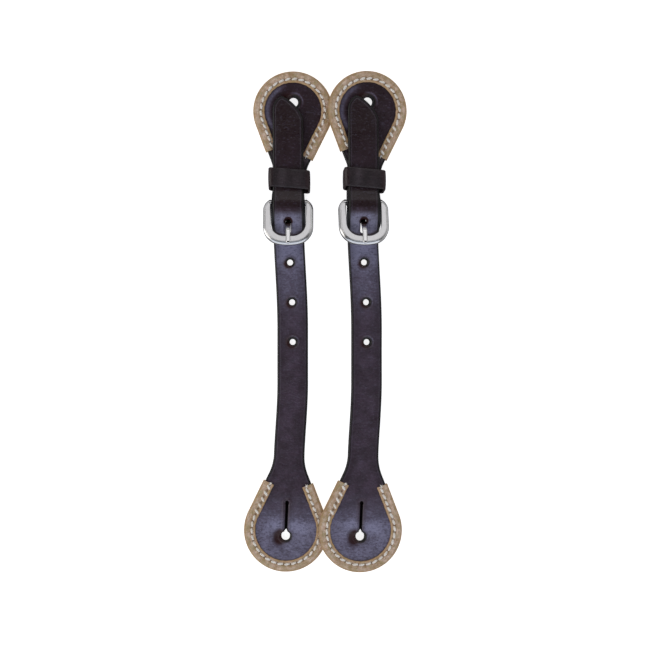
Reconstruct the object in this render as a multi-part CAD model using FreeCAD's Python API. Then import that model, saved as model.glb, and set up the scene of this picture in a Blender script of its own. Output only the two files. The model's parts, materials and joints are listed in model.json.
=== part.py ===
"""A pair of leather western spur straps, buckled and laid side by side.

Each strap is a long billet strap and a short buckle strap. Both have a teardrop
button end, bound with rawhide and sewn, with a keyhole for the spur's button. The
buckle strap folds round the heel bar of a buckle, the billet passes through the
buckle and a loose keeper, and the buckle's tongue stands through a punched hole.

One strap is modelled in its own frame: u across, v along it towards the buckle
strap's button end, z up, with the heel bar above the origin. The second strap is the
same strap, tilted, with its rim lying on the rim of the first.
Lengths are in millimetres.
"""
import os
from math import asin, cos, degrees, hypot, pi, radians, sin, sqrt, tan

import FreeCAD
import Part
from FreeCAD import Placement, Rotation, Vector

# Leather and rawhide
BILLET_WIDTH = 19.6
BILLET_THICK = 3.2
BUCKLE_STRAP_WIDTH = 20.8
BUCKLE_STRAP_THICK = 3.0
FOLD_THICK = 1.3
BINDING_WALL = 1.2
BINDING_BAND = 7.3
BINDING_ROLL = 2.2
FLANK_ANGLE = 23.5

# Button ends: middle of the round, outer radius over the binding, lean, and how far
# each leg of the binding runs up the flank past the round
LOWER_END = dict(centre=(-2.1, -208.5), radius=26.8, lean=2.5, legs=(21.5, 22.5), way=1)
UPPER_END = dict(centre=(2.4, 58.7), radius=25.4, lean=3.0, legs=(18.6, 22.8), way=-1)
LOWER_NECK_FILLET = 30.0
UPPER_NECK_FILLET = 20.0

# Keyholes for the spur's buttons
BUTTON_HOLE_RADIUS = 3.0
SLIT_WIDTH = 2.0
SLIT_END_RADIUS = 1.35
SLIT_LENGTH = 21.0
LOWER_HOLE_OFFSET = -3.9
UPPER_HOLE_OFFSET = -5.6

# Billet: middle line across the strap and underside height, both against v, then holes
BILLET_MIDDLE = ((-170.0, -0.2), (-115.0, 2.2), (-80.0, 2.2), (-5.0, -0.6), (70.0, -0.8))
BILLET_UNDERSIDE = (
    (-240.0, BINDING_WALL), (-184.0, BINDING_WALL), (-150.0, 0.0), (-27.5, 0.0),
    (-2.5, 8.75), (-0.5, 8.75), (7.5, 6.1), (38.0, 6.1), (64.0, 4.9), (72.0, 4.9),
)
HOLE_PITCH = 25.4
ADJUSTING_HOLES = 3
ADJUSTING_HOLE_RADIUS = 2.2
TONGUE_HOLE_TOP = -9.7
TONGUE_HOLE_RADIUS = 2.75
TONGUE_SLOT_WIDTH = 4.4
TONGUE_SLOT_END = -19.4

# Billet tip, cut askew, as (offset from the middle line, v): on each side where it starts
# to narrow, the middle of its cheek and where the small round nose starts, then the apex
TIP_RIGHT = ((9.8, 53.5), (5.2, 61.3), (-2.0, 67.2))
TIP_LEFT = ((-9.8, 59.0), (-8.9, 63.2), (-6.2, 66.9))
TIP_APEX = (-4.2, 68.0)

# Buckle: a flat bevelled frame that leans up from its heel bar
HEEL_BAR_RADIUS = 1.9
HEEL_BAR_HEIGHT = 4.8
BUCKLE_MIDDLE = -0.6
FRAME_LEAN = 17.0
FRAME_THICK = 3.4
FRAME_HALF_WIDTH = 16.0
FRAME_INNER_HALF_WIDTH = 11.2
FRAME_FRONT = -28.4
FRAME_FRONT_RADIUS = 30.0
FRAME_CORNER_RADIUS = 12.0
FRAME_INNER_FRONT = -22.7
FRAME_INNER_CORNER = 8.5
FRAME_HEEL_RADIUS = 8.0
FRAME_HEEL_TOP = 3.0
FRAME_BEVEL = 1.5
FRAME_BEVEL_DROP = 1.0
HEEL_BAR_BITE = 1.0
OPENING_OVERRUN = 1.0

# Tongue
TONGUE_THICK = 2.0
TONGUE_WIDTH = 3.3
TONGUE_TIP = -26.2
TONGUE_TIP_WIDTH = 2.7
TONGUE_TAPER_START = -14.0
TONGUE_ARM_START = 2.4
TONGUE_EYE_RADIUS = 3.3
TONGUE_EYE_WIDTH = 4.0
TONGUE_LIFT_OFF = 0.2
TONGUE_STEP = (10.2, 18.4)
TONGUE_START_HEIGHT = 1.5

# Fold of the buckle strap round the heel bar, and the steps down to the flat end
FOLD_CLEARANCE = 0.1
FOLD_SIDE_GAP = 1.0
FOLD_NECK = 6.0
FOLD_TOP_END = 7.0
FOLD_EYE_END = 8.0
TAIL_END = 22.5
TOP_STEP = (24.0, 33.0)
UNDER_STEP = (23.0, 32.0)
STRAP_FAR_END = 90.0
CHAPE_SLOT_WIDTH = 5.4
CHAPE_SLOT_END = 7.5
CHAPE_ROWS = (10.5, 20.0)
CHAPE_STITCHES = 4
CHAPE_THREAD_PROUD = 0.05

# Keeper
KEEPER_THICK = 1.3
KEEPER_MIDDLE = 0.1
KEEPER_INNER_HALF_WIDTH = 11.9
KEEPER_INNER_TOP = 9.9
KEEPER_FRONT = (9.5, 21.6)
KEEPER_LEAN = 2.5
KEEPER_SKEW = 0.08
KEEPER_OUTER_CORNER = 2.4
KEEPER_INNER_CORNER = 1.1

# Thread and staples
THREAD_RADIUS = 0.5
THREAD_SINK = 0.1
STITCH_LENGTH = 3.2
STITCH_PITCH = 4.3
STITCH_INSET = 5.0
STAPLE_WIRE_RADIUS = 0.3
STAPLE_LENGTH = 6.0
STAPLE_SPACING = 6.0
STAPLE_SINK = 0.2

# How the second strap lies on the first
PAIR_SPACING = 47.0
PAIR_TILT = 7.0

# Cutter sizes, how close counts as touching, and the number of spans in a drawn curve
TALL = 40.0
WIDE = 80.0
NEAR = 0.01
CURVE_SPANS = 8
TONGUE_SPANS = 18


def smooth(t):
    """Ease from 0 to 1 with level ends."""
    t = min(max(t, 0.0), 1.0)
    return t * t * (3.0 - 2.0 * t)


def eased(stations, v):
    """Value at v of a line that eases from each station to the next."""
    if v <= stations[0][0]:
        return stations[0][1]
    for (v0, a), (v1, b) in zip(stations, stations[1:]):
        if v <= v1:
            return a + (b - a) * smooth((v - v0) / (v1 - v0))
    return stations[-1][1]


def slope_of(height, place, step=0.01):
    """Slope of a height that is given as a function of place."""
    return (height(place + step) - height(place - step)) / (2.0 * step)


def spread(first, last, spans):
    """Evenly spaced values from first to last."""
    return [first + (last - first) * step / spans for step in range(spans + 1)]


def side_point(v, z):
    return Vector(0, v, z)


def line(a, b):
    return Part.LineSegment(a, b).toShape()


def arc(a, middle, b):
    return Part.Arc(a, middle, b).toShape()


def curve(points):
    spline = Part.BSplineCurve()
    spline.interpolate(points)
    return spline.toShape()


def face(edges):
    return Part.Face(Part.Wire(edges))


def prism(plan_face, low=-1.0, high=TALL):
    solid = plan_face.extrude(Vector(0, 0, high - low))
    solid.translate(Vector(0, 0, low))
    return solid


def side_slab(profile_face):
    """Sweep a closed side profile, drawn in the v-z plane, across the strap."""
    solid = profile_face.extrude(Vector(WIDE, 0, 0))
    solid.translate(Vector(-WIDE / 2.0, 0, 0))
    return solid


def end_point(end, x, y, z=0.0):
    """A button end's own x (across) and y (towards the strap) in the strap's frame."""
    lean = radians(end["lean"])
    along = Vector(end["way"] * sin(lean), end["way"] * cos(lean), 0)
    across = Vector(along.y, -along.x, 0)
    centre = Vector(end["centre"][0], end["centre"][1], z)
    return centre + across * x + along * y


def flank(radius, side, run):
    """Point on a teardrop's flank, run along it from where the round ends."""
    phi = radians(FLANK_ANGLE)
    x = side * (radius * cos(phi) - run * sin(phi))
    y = radius * sin(phi) + run * cos(phi)
    return x, y


def neck(radius, half_width, fillet, side):
    """The flank's last point, the fillet's middle and the strap edge's first point."""
    phi = radians(FLANK_ANGLE)
    run = (radius * cos(phi) - half_width) / sin(phi)
    reach = fillet * tan(phi / 2.0)
    last = flank(radius, side, run - reach)
    corner_y = flank(radius, side, run)[1]
    first = (side * half_width, corner_y + reach)
    centre = (side * (half_width + fillet), corner_y + reach)
    middle = (centre[0] - side * fillet * cos(phi / 2.0), centre[1] - fillet * sin(phi / 2.0))
    return last, middle, first


def round_end_edges(end, radius, half_width, fillet):
    """Outline of a button end, from the strap's edge on side +1 round to side -1."""
    last, middle, first = neck(radius, half_width, fillet, 1)
    last_b, middle_b, first_b = neck(radius, half_width, fillet, -1)
    turn = flank(radius, 1, 0.0)
    back = flank(radius, -1, 0.0)

    def at(point):
        return end_point(end, *point)

    edges = [
        arc(at(first), at(middle), at(last)),
        line(at(last), at(turn)),
        arc(at(turn), at((0.0, -radius)), at(back)),
        line(at(back), at(last_b)),
        arc(at(last_b), at(middle_b), at(first_b)),
    ]
    return edges, at(first), at(first_b)


def leather_radius(end):
    return end["radius"] - BINDING_WALL


def keyhole(end, offset):
    """The cutter for a keyhole: a round hole, and a slit towards the strap."""
    hole = Part.makeCylinder(BUTTON_HOLE_RADIUS, TALL, end_point(end, 0.0, offset, -1.0))
    half = SLIT_WIDTH / 2.0
    top = offset + SLIT_LENGTH
    corners = [end_point(end, x, y) for x, y in
               ((-half, offset), (half, offset), (half, top), (-half, top))]
    slit = prism(face([line(a, b) for a, b in zip(corners, corners[1:] + corners[:1])]))
    cap = Part.makeCylinder(SLIT_END_RADIUS, TALL, end_point(end, 0.0, top, -1.0))
    return hole.fuse([slit, cap])


def billet_plan():
    half = BILLET_WIDTH / 2.0
    radius = leather_radius(LOWER_END)
    edges, right, left = round_end_edges(LOWER_END, radius, half, LOWER_NECK_FILLET)
    stations = (-140.0, -115.0, -97.5, -80.0, -55.0, -30.0, -5.0, 25.0)

    def at(x, v):
        return Vector(eased(BILLET_MIDDLE, v) + x, v, 0)

    right_tip = [at(*place) for place in TIP_RIGHT]
    left_tip = [at(*place) for place in TIP_LEFT]
    right_points = [right] + [at(half, v) for v in stations] + right_tip[:1]
    left_points = [left] + [at(-half, v) for v in stations] + left_tip[:1]
    edges += [
        curve(left_points),
        arc(*left_tip),
        arc(left_tip[2], at(*TIP_APEX), right_tip[2]),
        arc(*right_tip[::-1]),
        curve(right_points[::-1]),
    ]
    return face(edges)


def billet_side():
    """Side profile of the billet: its underside, eased between stations, and its top."""
    def underside(v):
        return eased(BILLET_UNDERSIDE, v)

    lower = []
    upper = []
    for (v0, a), (v1, b) in zip(BILLET_UNDERSIDE, BILLET_UNDERSIDE[1:]):
        if a == b:
            lower.append(line(side_point(v0, a), side_point(v1, b)))
            upper.append(line(side_point(v0, a + BILLET_THICK), side_point(v1, b + BILLET_THICK)))
            continue
        below = []
        above = []
        for v in spread(v0, v1, CURVE_SPANS):
            slope = slope_of(underside, v) if v0 < v < v1 else 0.0
            length = hypot(1.0, slope)
            below.append(side_point(v, underside(v)))
            above.append(below[-1] + Vector(0, -slope, 1.0) * (BILLET_THICK / length))
        lower.append(curve(below))
        upper.append(curve(above))
    first = side_point(*BILLET_UNDERSIDE[0])
    last = side_point(*BILLET_UNDERSIDE[-1])
    rise = Vector(0, 0, BILLET_THICK)
    return face([line(first + rise, first)] + lower + [line(last, last + rise)] + upper[::-1])


def tongue_hole():
    """The cutter for the hole the tongue stands in, pulled long by the tongue."""
    centre = TONGUE_HOLE_TOP - TONGUE_HOLE_RADIUS
    hole = Part.makeCylinder(TONGUE_HOLE_RADIUS, TALL, Vector(BUCKLE_MIDDLE, centre, -1))
    half = TONGUE_SLOT_WIDTH / 2.0
    slot_end = TONGUE_SLOT_END + half
    corner = Vector(BUCKLE_MIDDLE - half, slot_end, -1)
    slot = Part.makeBox(TONGUE_SLOT_WIDTH, centre - slot_end, TALL, corner)
    cap = Part.makeCylinder(half, TALL, Vector(BUCKLE_MIDDLE, slot_end, -1))
    return hole.fuse([slot, cap])


def billet_strap():
    solid = side_slab(billet_side()).common(prism(billet_plan()))
    cutters = [keyhole(LOWER_END, LOWER_HOLE_OFFSET), tongue_hole()]
    first_hole = TONGUE_HOLE_TOP - TONGUE_HOLE_RADIUS
    for number in range(1, ADJUSTING_HOLES + 1):
        v = first_hole - number * HOLE_PITCH
        place = Vector(eased(BILLET_MIDDLE, v), v, -1)
        cutters.append(Part.makeCylinder(ADJUSTING_HOLE_RADIUS, TALL, place))
    return solid.cut(cutters)


def buckle_strap_plan():
    half = BUCKLE_STRAP_WIDTH / 2.0
    radius = leather_radius(UPPER_END)
    edges, first, last = round_end_edges(UPPER_END, radius, half, UPPER_NECK_FILLET)
    fold_half = FRAME_INNER_HALF_WIDTH - FOLD_SIDE_GAP
    corners = [Vector(BUCKLE_MIDDLE + x, y, 0) for x, y in (
        (fold_half, FOLD_NECK), (fold_half, -HEEL_BAR_HEIGHT),
        (-fold_half, -HEEL_BAR_HEIGHT), (-fold_half, FOLD_NECK))]
    points = [last] + corners + [first]
    return face(edges + [line(a, b) for a, b in zip(points, points[1:])])


def step_curve(v0, z0, v1, z1):
    """An eased step from one height to another, drawn in the side view."""
    stations = sorted(((v0, z0), (v1, z1)))
    return curve([side_point(v, eased(stations, v)) for v in spread(v0, v1, CURVE_SPANS)])


def buckle_strap_side():
    """Side profile: the flat end, the layer over the heel bar, the fold and the tail."""
    at = side_point
    inner = HEEL_BAR_RADIUS + FOLD_CLEARANCE
    outer = inner + FOLD_THICK
    bar = HEEL_BAR_HEIGHT
    tail_low = bar - outer
    tail_high = bar - inner
    top = tail_high + BUCKLE_STRAP_THICK
    end_low = BINDING_WALL
    end_high = end_low + BUCKLE_STRAP_THICK
    top_near, top_far = TOP_STEP
    under_near, under_far = UNDER_STEP
    outline = [
        line(at(STRAP_FAR_END, end_low), at(STRAP_FAR_END, end_high)),
        line(at(STRAP_FAR_END, end_high), at(top_far, end_high)),
        step_curve(top_far, end_high, top_near, top),
        line(at(top_near, top), at(FOLD_TOP_END, top)),
        step_curve(FOLD_TOP_END, top, 0.0, bar + outer),
        arc(at(0.0, bar + outer), at(-outer, bar), at(0.0, tail_low)),
        line(at(0.0, tail_low), at(TAIL_END, tail_low)),
        line(at(TAIL_END, tail_low), at(TAIL_END, tail_high)),
        line(at(TAIL_END, tail_high), at(under_near, tail_high)),
        step_curve(under_near, tail_high, under_far, end_low),
        line(at(under_far, end_low), at(STRAP_FAR_END, end_low)),
    ]
    eye = [
        arc(at(0.0, bar + inner), at(-inner, bar), at(0.0, tail_high)),
        line(at(0.0, tail_high), at(FOLD_EYE_END, tail_high)),
        step_curve(FOLD_EYE_END, tail_high, 0.0, bar + inner),
    ]
    return face(outline), face(eye)


def buckle_strap():
    outline, eye = buckle_strap_side()
    solid = side_slab(outline).cut(side_slab(eye)).common(prism(buckle_strap_plan()))
    reach = 2.0 * HEEL_BAR_HEIGHT
    slot = Part.makeBox(CHAPE_SLOT_WIDTH, CHAPE_SLOT_END + reach, TALL,
                        Vector(BUCKLE_MIDDLE - CHAPE_SLOT_WIDTH / 2.0, -reach, -1))
    return solid.cut([slot, keyhole(UPPER_END, UPPER_HOLE_OFFSET)])


def band_face(end):
    """Plan of a binding strip: a band of even width round the end, legs cut square."""
    outer = end["radius"]
    inner = outer - BINDING_BAND
    leg_right, leg_left = end["legs"]

    def on_flank(radius, side, run):
        return end_point(end, *flank(radius, side, run))

    def run_round(radius, from_side, from_leg, to_leg):
        """One leg's foot, round the end, to the other leg's foot."""
        first = on_flank(radius, from_side, 0.0)
        last = on_flank(radius, -from_side, 0.0)
        return [
            line(on_flank(radius, from_side, from_leg), first),
            arc(first, end_point(end, 0.0, -radius), last),
            line(last, on_flank(radius, -from_side, to_leg)),
        ]

    across_left = line(on_flank(outer, -1, leg_left), on_flank(inner, -1, leg_left))
    across_right = line(on_flank(inner, 1, leg_right), on_flank(outer, 1, leg_right))
    outer_run = run_round(outer, 1, leg_right, leg_left)
    inner_run = run_round(inner, -1, leg_left, leg_right)
    return face(outer_run + [across_left] + inner_run + [across_right])


def on_outer_line(end, point):
    """Whether a point lies on the outer line of a button end, on its round or a flank."""
    here = Vector(point.x, point.y, 0)
    if abs((here - end_point(end, 0.0, 0.0)).Length - end["radius"]) < NEAR:
        return True
    for side in (1, -1):
        start = end_point(end, *flank(end["radius"], side, 0.0))
        along = end_point(end, *flank(end["radius"], side, 1.0)) - start
        if (here - start).cross(along).Length < NEAR:
            return True
    return False


def binding(end, leather, thick):
    """A rawhide strip folded over the edge of a button end, its rim rolled round."""
    height = thick + 2.0 * BINDING_WALL
    solid = prism(band_face(end), 0.0, height)
    rim = []
    for edge in solid.Edges:
        middle = edge.valueAt((edge.FirstParameter + edge.LastParameter) / 2.0)
        if edge.BoundBox.ZLength < NEAR and on_outer_line(end, middle):
            rim.append(edge)
    return solid.makeFillet(BINDING_ROLL, rim).cut(leather)


def capsule(length, radius):
    """A stitch along +X: a round thread with rounded ends, its middle at the origin."""
    half = length / 2.0 - radius
    body = Part.makeCylinder(radius, 2.0 * half, Vector(-half, 0, 0), Vector(1, 0, 0))
    caps = [Part.makeSphere(radius, Vector(x, 0, 0)) for x in (-half, half)]
    return body.fuse(caps).removeSplitter()


def seam_path(end):
    """Sewing line round a button end, as its length and a place and heading along it."""
    radius = end["radius"] - STITCH_INSET
    leg_right, leg_left = end["legs"]
    phi = radians(FLANK_ANGLE)
    sweep = pi + 2.0 * phi
    length = leg_right + radius * sweep + leg_left

    def place(run):
        if run < leg_right:
            x, y = flank(radius, 1, leg_right - run)
            return x, y, -pi / 2.0 + phi
        run -= leg_right
        if run < radius * sweep:
            angle = phi - run / radius
            return radius * cos(angle), radius * sin(angle), angle - pi / 2.0
        x, y = flank(radius, -1, run - radius * sweep)
        return x, y, pi / 2.0 + phi

    return length, place


def turned(shape, x, y, z, heading):
    copy = shape.copy()
    copy.Placement = Placement(Vector(x, y, z), Rotation(Vector(0, 0, 1), degrees(heading)))
    return copy


def binding_stitching(end, thick):
    """One row of stitches through the binding, seen on its face and on its back."""
    stitch = capsule(STITCH_LENGTH, THREAD_RADIUS)
    length, place = seam_path(end)
    count = int(length / STITCH_PITCH)
    margin = (length - (count - 1) * STITCH_PITCH) / 2.0
    heights = (thick + 2.0 * BINDING_WALL - THREAD_SINK, THREAD_RADIUS + THREAD_SINK)
    lean = radians(end["lean"])
    frame_turn = -lean if end["way"] > 0 else pi - lean
    stitches = []
    for number in range(count):
        x, y, heading = place(margin + number * STITCH_PITCH)
        point = end_point(end, x, y)
        for height in heights:
            stitches.append(turned(stitch, point.x, point.y, height, heading + frame_turn))
    return Part.Compound(stitches)


def chape_stitching():
    """Two short rows across the fold that hold the tail to the strap, sunk in grooves."""
    stitch = capsule(STITCH_LENGTH, THREAD_RADIUS)
    seam = HEEL_BAR_HEIGHT - HEEL_BAR_RADIUS - FOLD_CLEARANCE
    sunk = THREAD_RADIUS - CHAPE_THREAD_PROUD
    heights = (seam - FOLD_THICK + sunk, seam + BUCKLE_STRAP_THICK - sunk)
    reach = STITCH_PITCH * (CHAPE_STITCHES - 1) / 2.0
    stitches = []
    for row in CHAPE_ROWS:
        for place in spread(BUCKLE_MIDDLE - reach, BUCKLE_MIDDLE + reach, CHAPE_STITCHES - 1):
            for height in heights:
                stitches.append(turned(stitch, place, row, height, 0.0))
    return Part.Compound(stitches)


def frame_outer_face():
    """Plan of the frame's outer line, before it leans, with the heel bar at the origin."""
    corner_x = FRAME_HALF_WIDTH - FRAME_CORNER_RADIUS
    front_y = FRAME_FRONT + FRAME_FRONT_RADIUS
    gap = FRAME_FRONT_RADIUS - FRAME_CORNER_RADIUS
    corner_y = front_y - sqrt(gap ** 2 - corner_x ** 2)
    meet = asin(corner_x / gap)
    halfway = meet / 2.0 + pi / 4.0
    heel_x = FRAME_HALF_WIDTH - FRAME_HEEL_RADIUS
    heel_y = FRAME_HEEL_TOP - FRAME_HEEL_RADIUS
    diagonal = FRAME_HEEL_RADIUS * sqrt(0.5)

    def front(side):
        x = side * FRAME_FRONT_RADIUS * sin(meet)
        return Vector(x, front_y - FRAME_FRONT_RADIUS * cos(meet), 0)

    def corner(side):
        x = side * (corner_x + FRAME_CORNER_RADIUS * sin(halfway))
        return Vector(x, corner_y - FRAME_CORNER_RADIUS * cos(halfway), 0)

    def rail(side, y):
        return Vector(side * FRAME_HALF_WIDTH, y, 0)

    def heel(side):
        return Vector(side * (heel_x + diagonal), heel_y + diagonal, 0)

    def heel_top(side):
        return Vector(side * heel_x, FRAME_HEEL_TOP, 0)

    return face([
        arc(front(-1), Vector(0, FRAME_FRONT, 0), front(1)),
        arc(front(1), corner(1), rail(1, corner_y)),
        line(rail(1, corner_y), rail(1, heel_y)),
        arc(rail(1, heel_y), heel(1), heel_top(1)),
        line(heel_top(1), heel_top(-1)),
        arc(heel_top(-1), heel(-1), rail(-1, heel_y)),
        line(rail(-1, heel_y), rail(-1, corner_y)),
        arc(rail(-1, corner_y), corner(-1), front(-1)),
    ])


def frame_inner_face():
    """Plan of the frame's opening, which runs out past the heel bar."""
    half = FRAME_INNER_HALF_WIDTH
    radius = FRAME_INNER_CORNER
    low = FRAME_INNER_FRONT
    high = FRAME_HEEL_TOP + OPENING_OVERRUN
    diagonal = radius * sqrt(0.5)

    def front(side):
        return Vector(side * (half - radius), low, 0)

    def corner(side):
        return Vector(side * (half - radius + diagonal), low + radius - diagonal, 0)

    def rail(side, y):
        return Vector(side * half, y, 0)

    return face([
        line(front(-1), front(1)),
        arc(front(1), corner(1), rail(1, low + radius)),
        line(rail(1, low + radius), rail(1, high)),
        line(rail(1, high), rail(-1, high)),
        line(rail(-1, high), rail(-1, low + radius)),
        arc(rail(-1, low + radius), corner(-1), front(-1)),
    ])


def lean_up(shape):
    """Turn a buckle piece, drawn level, up about the heel bar and put it in its place."""
    shape.rotate(Vector(0, 0, 0), Vector(1, 0, 0), -FRAME_LEAN)
    shape.translate(Vector(BUCKLE_MIDDLE, 0, HEEL_BAR_HEIGHT))
    return shape


def buckle_frame():
    half = FRAME_THICK / 2.0
    plate = prism(frame_outer_face(), -half, half)
    outer_top = [edge for edge in plate.Edges if edge.BoundBox.ZMin > half - NEAR]
    plate = plate.makeChamfer(FRAME_BEVEL_DROP, FRAME_BEVEL, outer_top)
    ring = plate.cut(prism(frame_inner_face(), -TALL, TALL))
    reach = FRAME_INNER_HALF_WIDTH + HEEL_BAR_BITE
    bar = Part.makeCylinder(HEEL_BAR_RADIUS, 2.0 * reach, Vector(-reach, 0, 0), Vector(1, 0, 0))
    return lean_up(ring.fuse(bar).removeSplitter())


def tongue_height(s):
    """Height of the tongue's middle above the floor, s towards the front bar."""
    lean = radians(FRAME_LEAN)
    stack = FRAME_THICK / 2.0 + TONGUE_LIFT_OFF + TONGUE_THICK / 2.0
    rise = HEEL_BAR_HEIGHT + stack / cos(lean) - TONGUE_START_HEIGHT
    start, end = TONGUE_STEP
    return TONGUE_START_HEIGHT + tan(lean) * s + rise * smooth((s - start) / (end - start))


def tongue_side():
    """Side profile of the tongue's arm: low past the hole, then up on to the front bar."""
    low = []
    high = []
    for s in spread(TONGUE_ARM_START, 1.0 - TONGUE_TIP, TONGUE_SPANS):
        slope = slope_of(tongue_height, s)
        across = Vector(0, slope, 1.0) * (TONGUE_THICK / 2.0 / hypot(1.0, slope))
        middle = side_point(-s, tongue_height(s))
        low.append(middle - across)
        high.append(middle + across)
    return face([curve(low), line(low[-1], high[-1]), curve(high[::-1]), line(high[0], low[0])])


def tongue_plan():
    half = TONGUE_WIDTH / 2.0
    tip_half = TONGUE_TIP_WIDTH / 2.0
    nose = TONGUE_TIP + tip_half

    def at(x, y):
        return Vector(BUCKLE_MIDDLE + x, y, 0)

    return face([
        line(at(-half, -1.0), at(-half, TONGUE_TAPER_START)),
        line(at(-half, TONGUE_TAPER_START), at(-tip_half, nose)),
        arc(at(-tip_half, nose), at(0.0, TONGUE_TIP), at(tip_half, nose)),
        line(at(tip_half, nose), at(half, TONGUE_TAPER_START)),
        line(at(half, TONGUE_TAPER_START), at(half, -1.0)),
        line(at(half, -1.0), at(-half, -1.0)),
    ])


def buckle_tongue():
    arm = side_slab(tongue_side()).common(prism(tongue_plan()))
    eye_half = TONGUE_EYE_WIDTH / 2.0
    start = Vector(BUCKLE_MIDDLE - eye_half, 0, HEEL_BAR_HEIGHT)
    across = Vector(1, 0, 0)
    eye = Part.makeCylinder(TONGUE_EYE_RADIUS, TONGUE_EYE_WIDTH, start, across)
    bore_radius = HEEL_BAR_RADIUS + FOLD_CLEARANCE
    bore = Part.makeCylinder(bore_radius, TONGUE_EYE_WIDTH, start, across)
    return arm.fuse(eye).cut(bore).removeSplitter()


def rounded_rectangle(left, right, low, high, radius):
    """A rounded rectangle in the u-z plane."""
    diagonal = radius * (1.0 - sqrt(0.5))

    def at(x, z):
        return Vector(x, 0, z)

    return face([
        line(at(left + radius, low), at(right - radius, low)),
        arc(at(right - radius, low), at(right - diagonal, low + diagonal), at(right, low + radius)),
        line(at(right, low + radius), at(right, high - radius)),
        arc(at(right, high - radius), at(right - diagonal, high - diagonal), at(right - radius, high)),
        line(at(right - radius, high), at(left + radius, high)),
        arc(at(left + radius, high), at(left + diagonal, high - diagonal), at(left, high - radius)),
        line(at(left, high - radius), at(left, low + radius)),
        arc(at(left, low + radius), at(left + diagonal, low + diagonal), at(left + radius, low)),
    ])


def keeper_loop():
    """A leather loop round both straps, leaning a little, as a loose keeper does."""
    left = KEEPER_MIDDLE - KEEPER_INNER_HALF_WIDTH
    right = KEEPER_MIDDLE + KEEPER_INNER_HALF_WIDTH
    t = KEEPER_THICK
    height = KEEPER_INNER_TOP + t
    outer = rounded_rectangle(left - t, right + t, 0.0, height, KEEPER_OUTER_CORNER)
    inner = rounded_rectangle(left, right, t, KEEPER_INNER_TOP, KEEPER_INNER_CORNER)
    tube = outer.cut(inner).extrude(Vector(0, WIDE, 0))
    tube.translate(Vector(0, -WIDE / 2.0, 0))
    skew = KEEPER_SKEW * WIDE
    near, far = KEEPER_FRONT
    corners = [Vector(-WIDE / 2.0, v + skew / 2.0, z) for v, z in (
        (near - KEEPER_LEAN, 0.0), (far - KEEPER_LEAN, 0.0), (far, height), (near, height))]
    slab = face([line(a, b) for a, b in zip(corners, corners[1:] + corners[:1])])
    return tube.common(slab.extrude(Vector(WIDE, -skew, 0)))


def keeper_staples():
    """Two flat wire staples that hold the keeper's lapped ends at its back."""
    height = STAPLE_WIRE_RADIUS + STAPLE_SINK
    wire = capsule(STAPLE_LENGTH, STAPLE_WIRE_RADIUS)
    middle = sum(KEEPER_FRONT) / 2.0 - KEEPER_LEAN
    reach = STAPLE_SPACING / 2.0
    places = (middle - reach, middle + reach)
    return Part.Compound([turned(wire, KEEPER_MIDDLE, place, height, 0.0) for place in places])


def strap_nodes():
    """Every piece of one strap, by name."""
    billet = billet_strap()
    buckle = buckle_strap()
    return {
        "billet_strap": billet,
        "lower_binding": binding(LOWER_END, billet, BILLET_THICK),
        "lower_binding_stitching": binding_stitching(LOWER_END, BILLET_THICK),
        "buckle_strap": buckle,
        "upper_binding": binding(UPPER_END, buckle, BUCKLE_STRAP_THICK),
        "upper_binding_stitching": binding_stitching(UPPER_END, BUCKLE_STRAP_THICK),
        "chape_stitching": chape_stitching(),
        "buckle_frame": buckle_frame(),
        "buckle_tongue": buckle_tongue(),
        "keeper_loop": keeper_loop(),
        "keeper_staples": keeper_staples(),
    }


def pair_placements(nodes):
    """Where the two straps go, with the pair's box standing centred on the origin."""
    whole = Part.Compound(list(nodes.values()))
    tilt = Rotation(Vector(0, 1, 0), PAIR_TILT)
    left_box = whole.optimalBoundingBox()
    second = whole.copy()
    second.Placement = Placement(Vector(0, 0, 0), tilt)
    lift = -second.optimalBoundingBox().ZMin
    right_box = second.optimalBoundingBox()
    middle_x = (left_box.XMin + right_box.XMax + PAIR_SPACING) / 2.0
    middle_y = (left_box.YMin + left_box.YMax) / 2.0
    left = Placement(Vector(-middle_x, -middle_y, -left_box.ZMin), Rotation())
    right = Placement(Vector(PAIR_SPACING - middle_x, -middle_y, lift), tilt)
    return {"left": left, "right": right}


def placed(shape, placement):
    copy = shape.copy()
    copy.Placement = placement.multiply(copy.Placement)
    return copy


def build():
    """Every node of the pair, by its full name."""
    nodes = strap_nodes()
    pair = {}
    for hand, placement in pair_placements(nodes).items():
        for name, shape in nodes.items():
            pair[hand + "_" + name] = placed(shape, placement)
    return pair


def main():
    os.makedirs("parts", exist_ok=True)
    for name, shape in build().items():
        shape.exportStep("parts/" + name + ".step")
        solids = shape.Solids
        print(name, len(solids), round(sum(solid.Volume for solid in solids), 2), shape.isValid())


if __name__ == "__main__":
    main()
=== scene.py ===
"""Looks for a pair of leather western spur straps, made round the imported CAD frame.

One strap is made in its own frame: u across, v along it towards the buckle strap's
button end, z up, heel bar above the origin, in millimetres. Each piece is made once
and placed on both straps, where the frame's hinge axes say that they are.
"""
import json
import random
from math import asin, cos, pi, radians, sin, sqrt, tan

import bpy
import numpy as np
from mathutils import Matrix, Vector, noise
from mathutils.geometry import delaunay_2d_cdt


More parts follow.
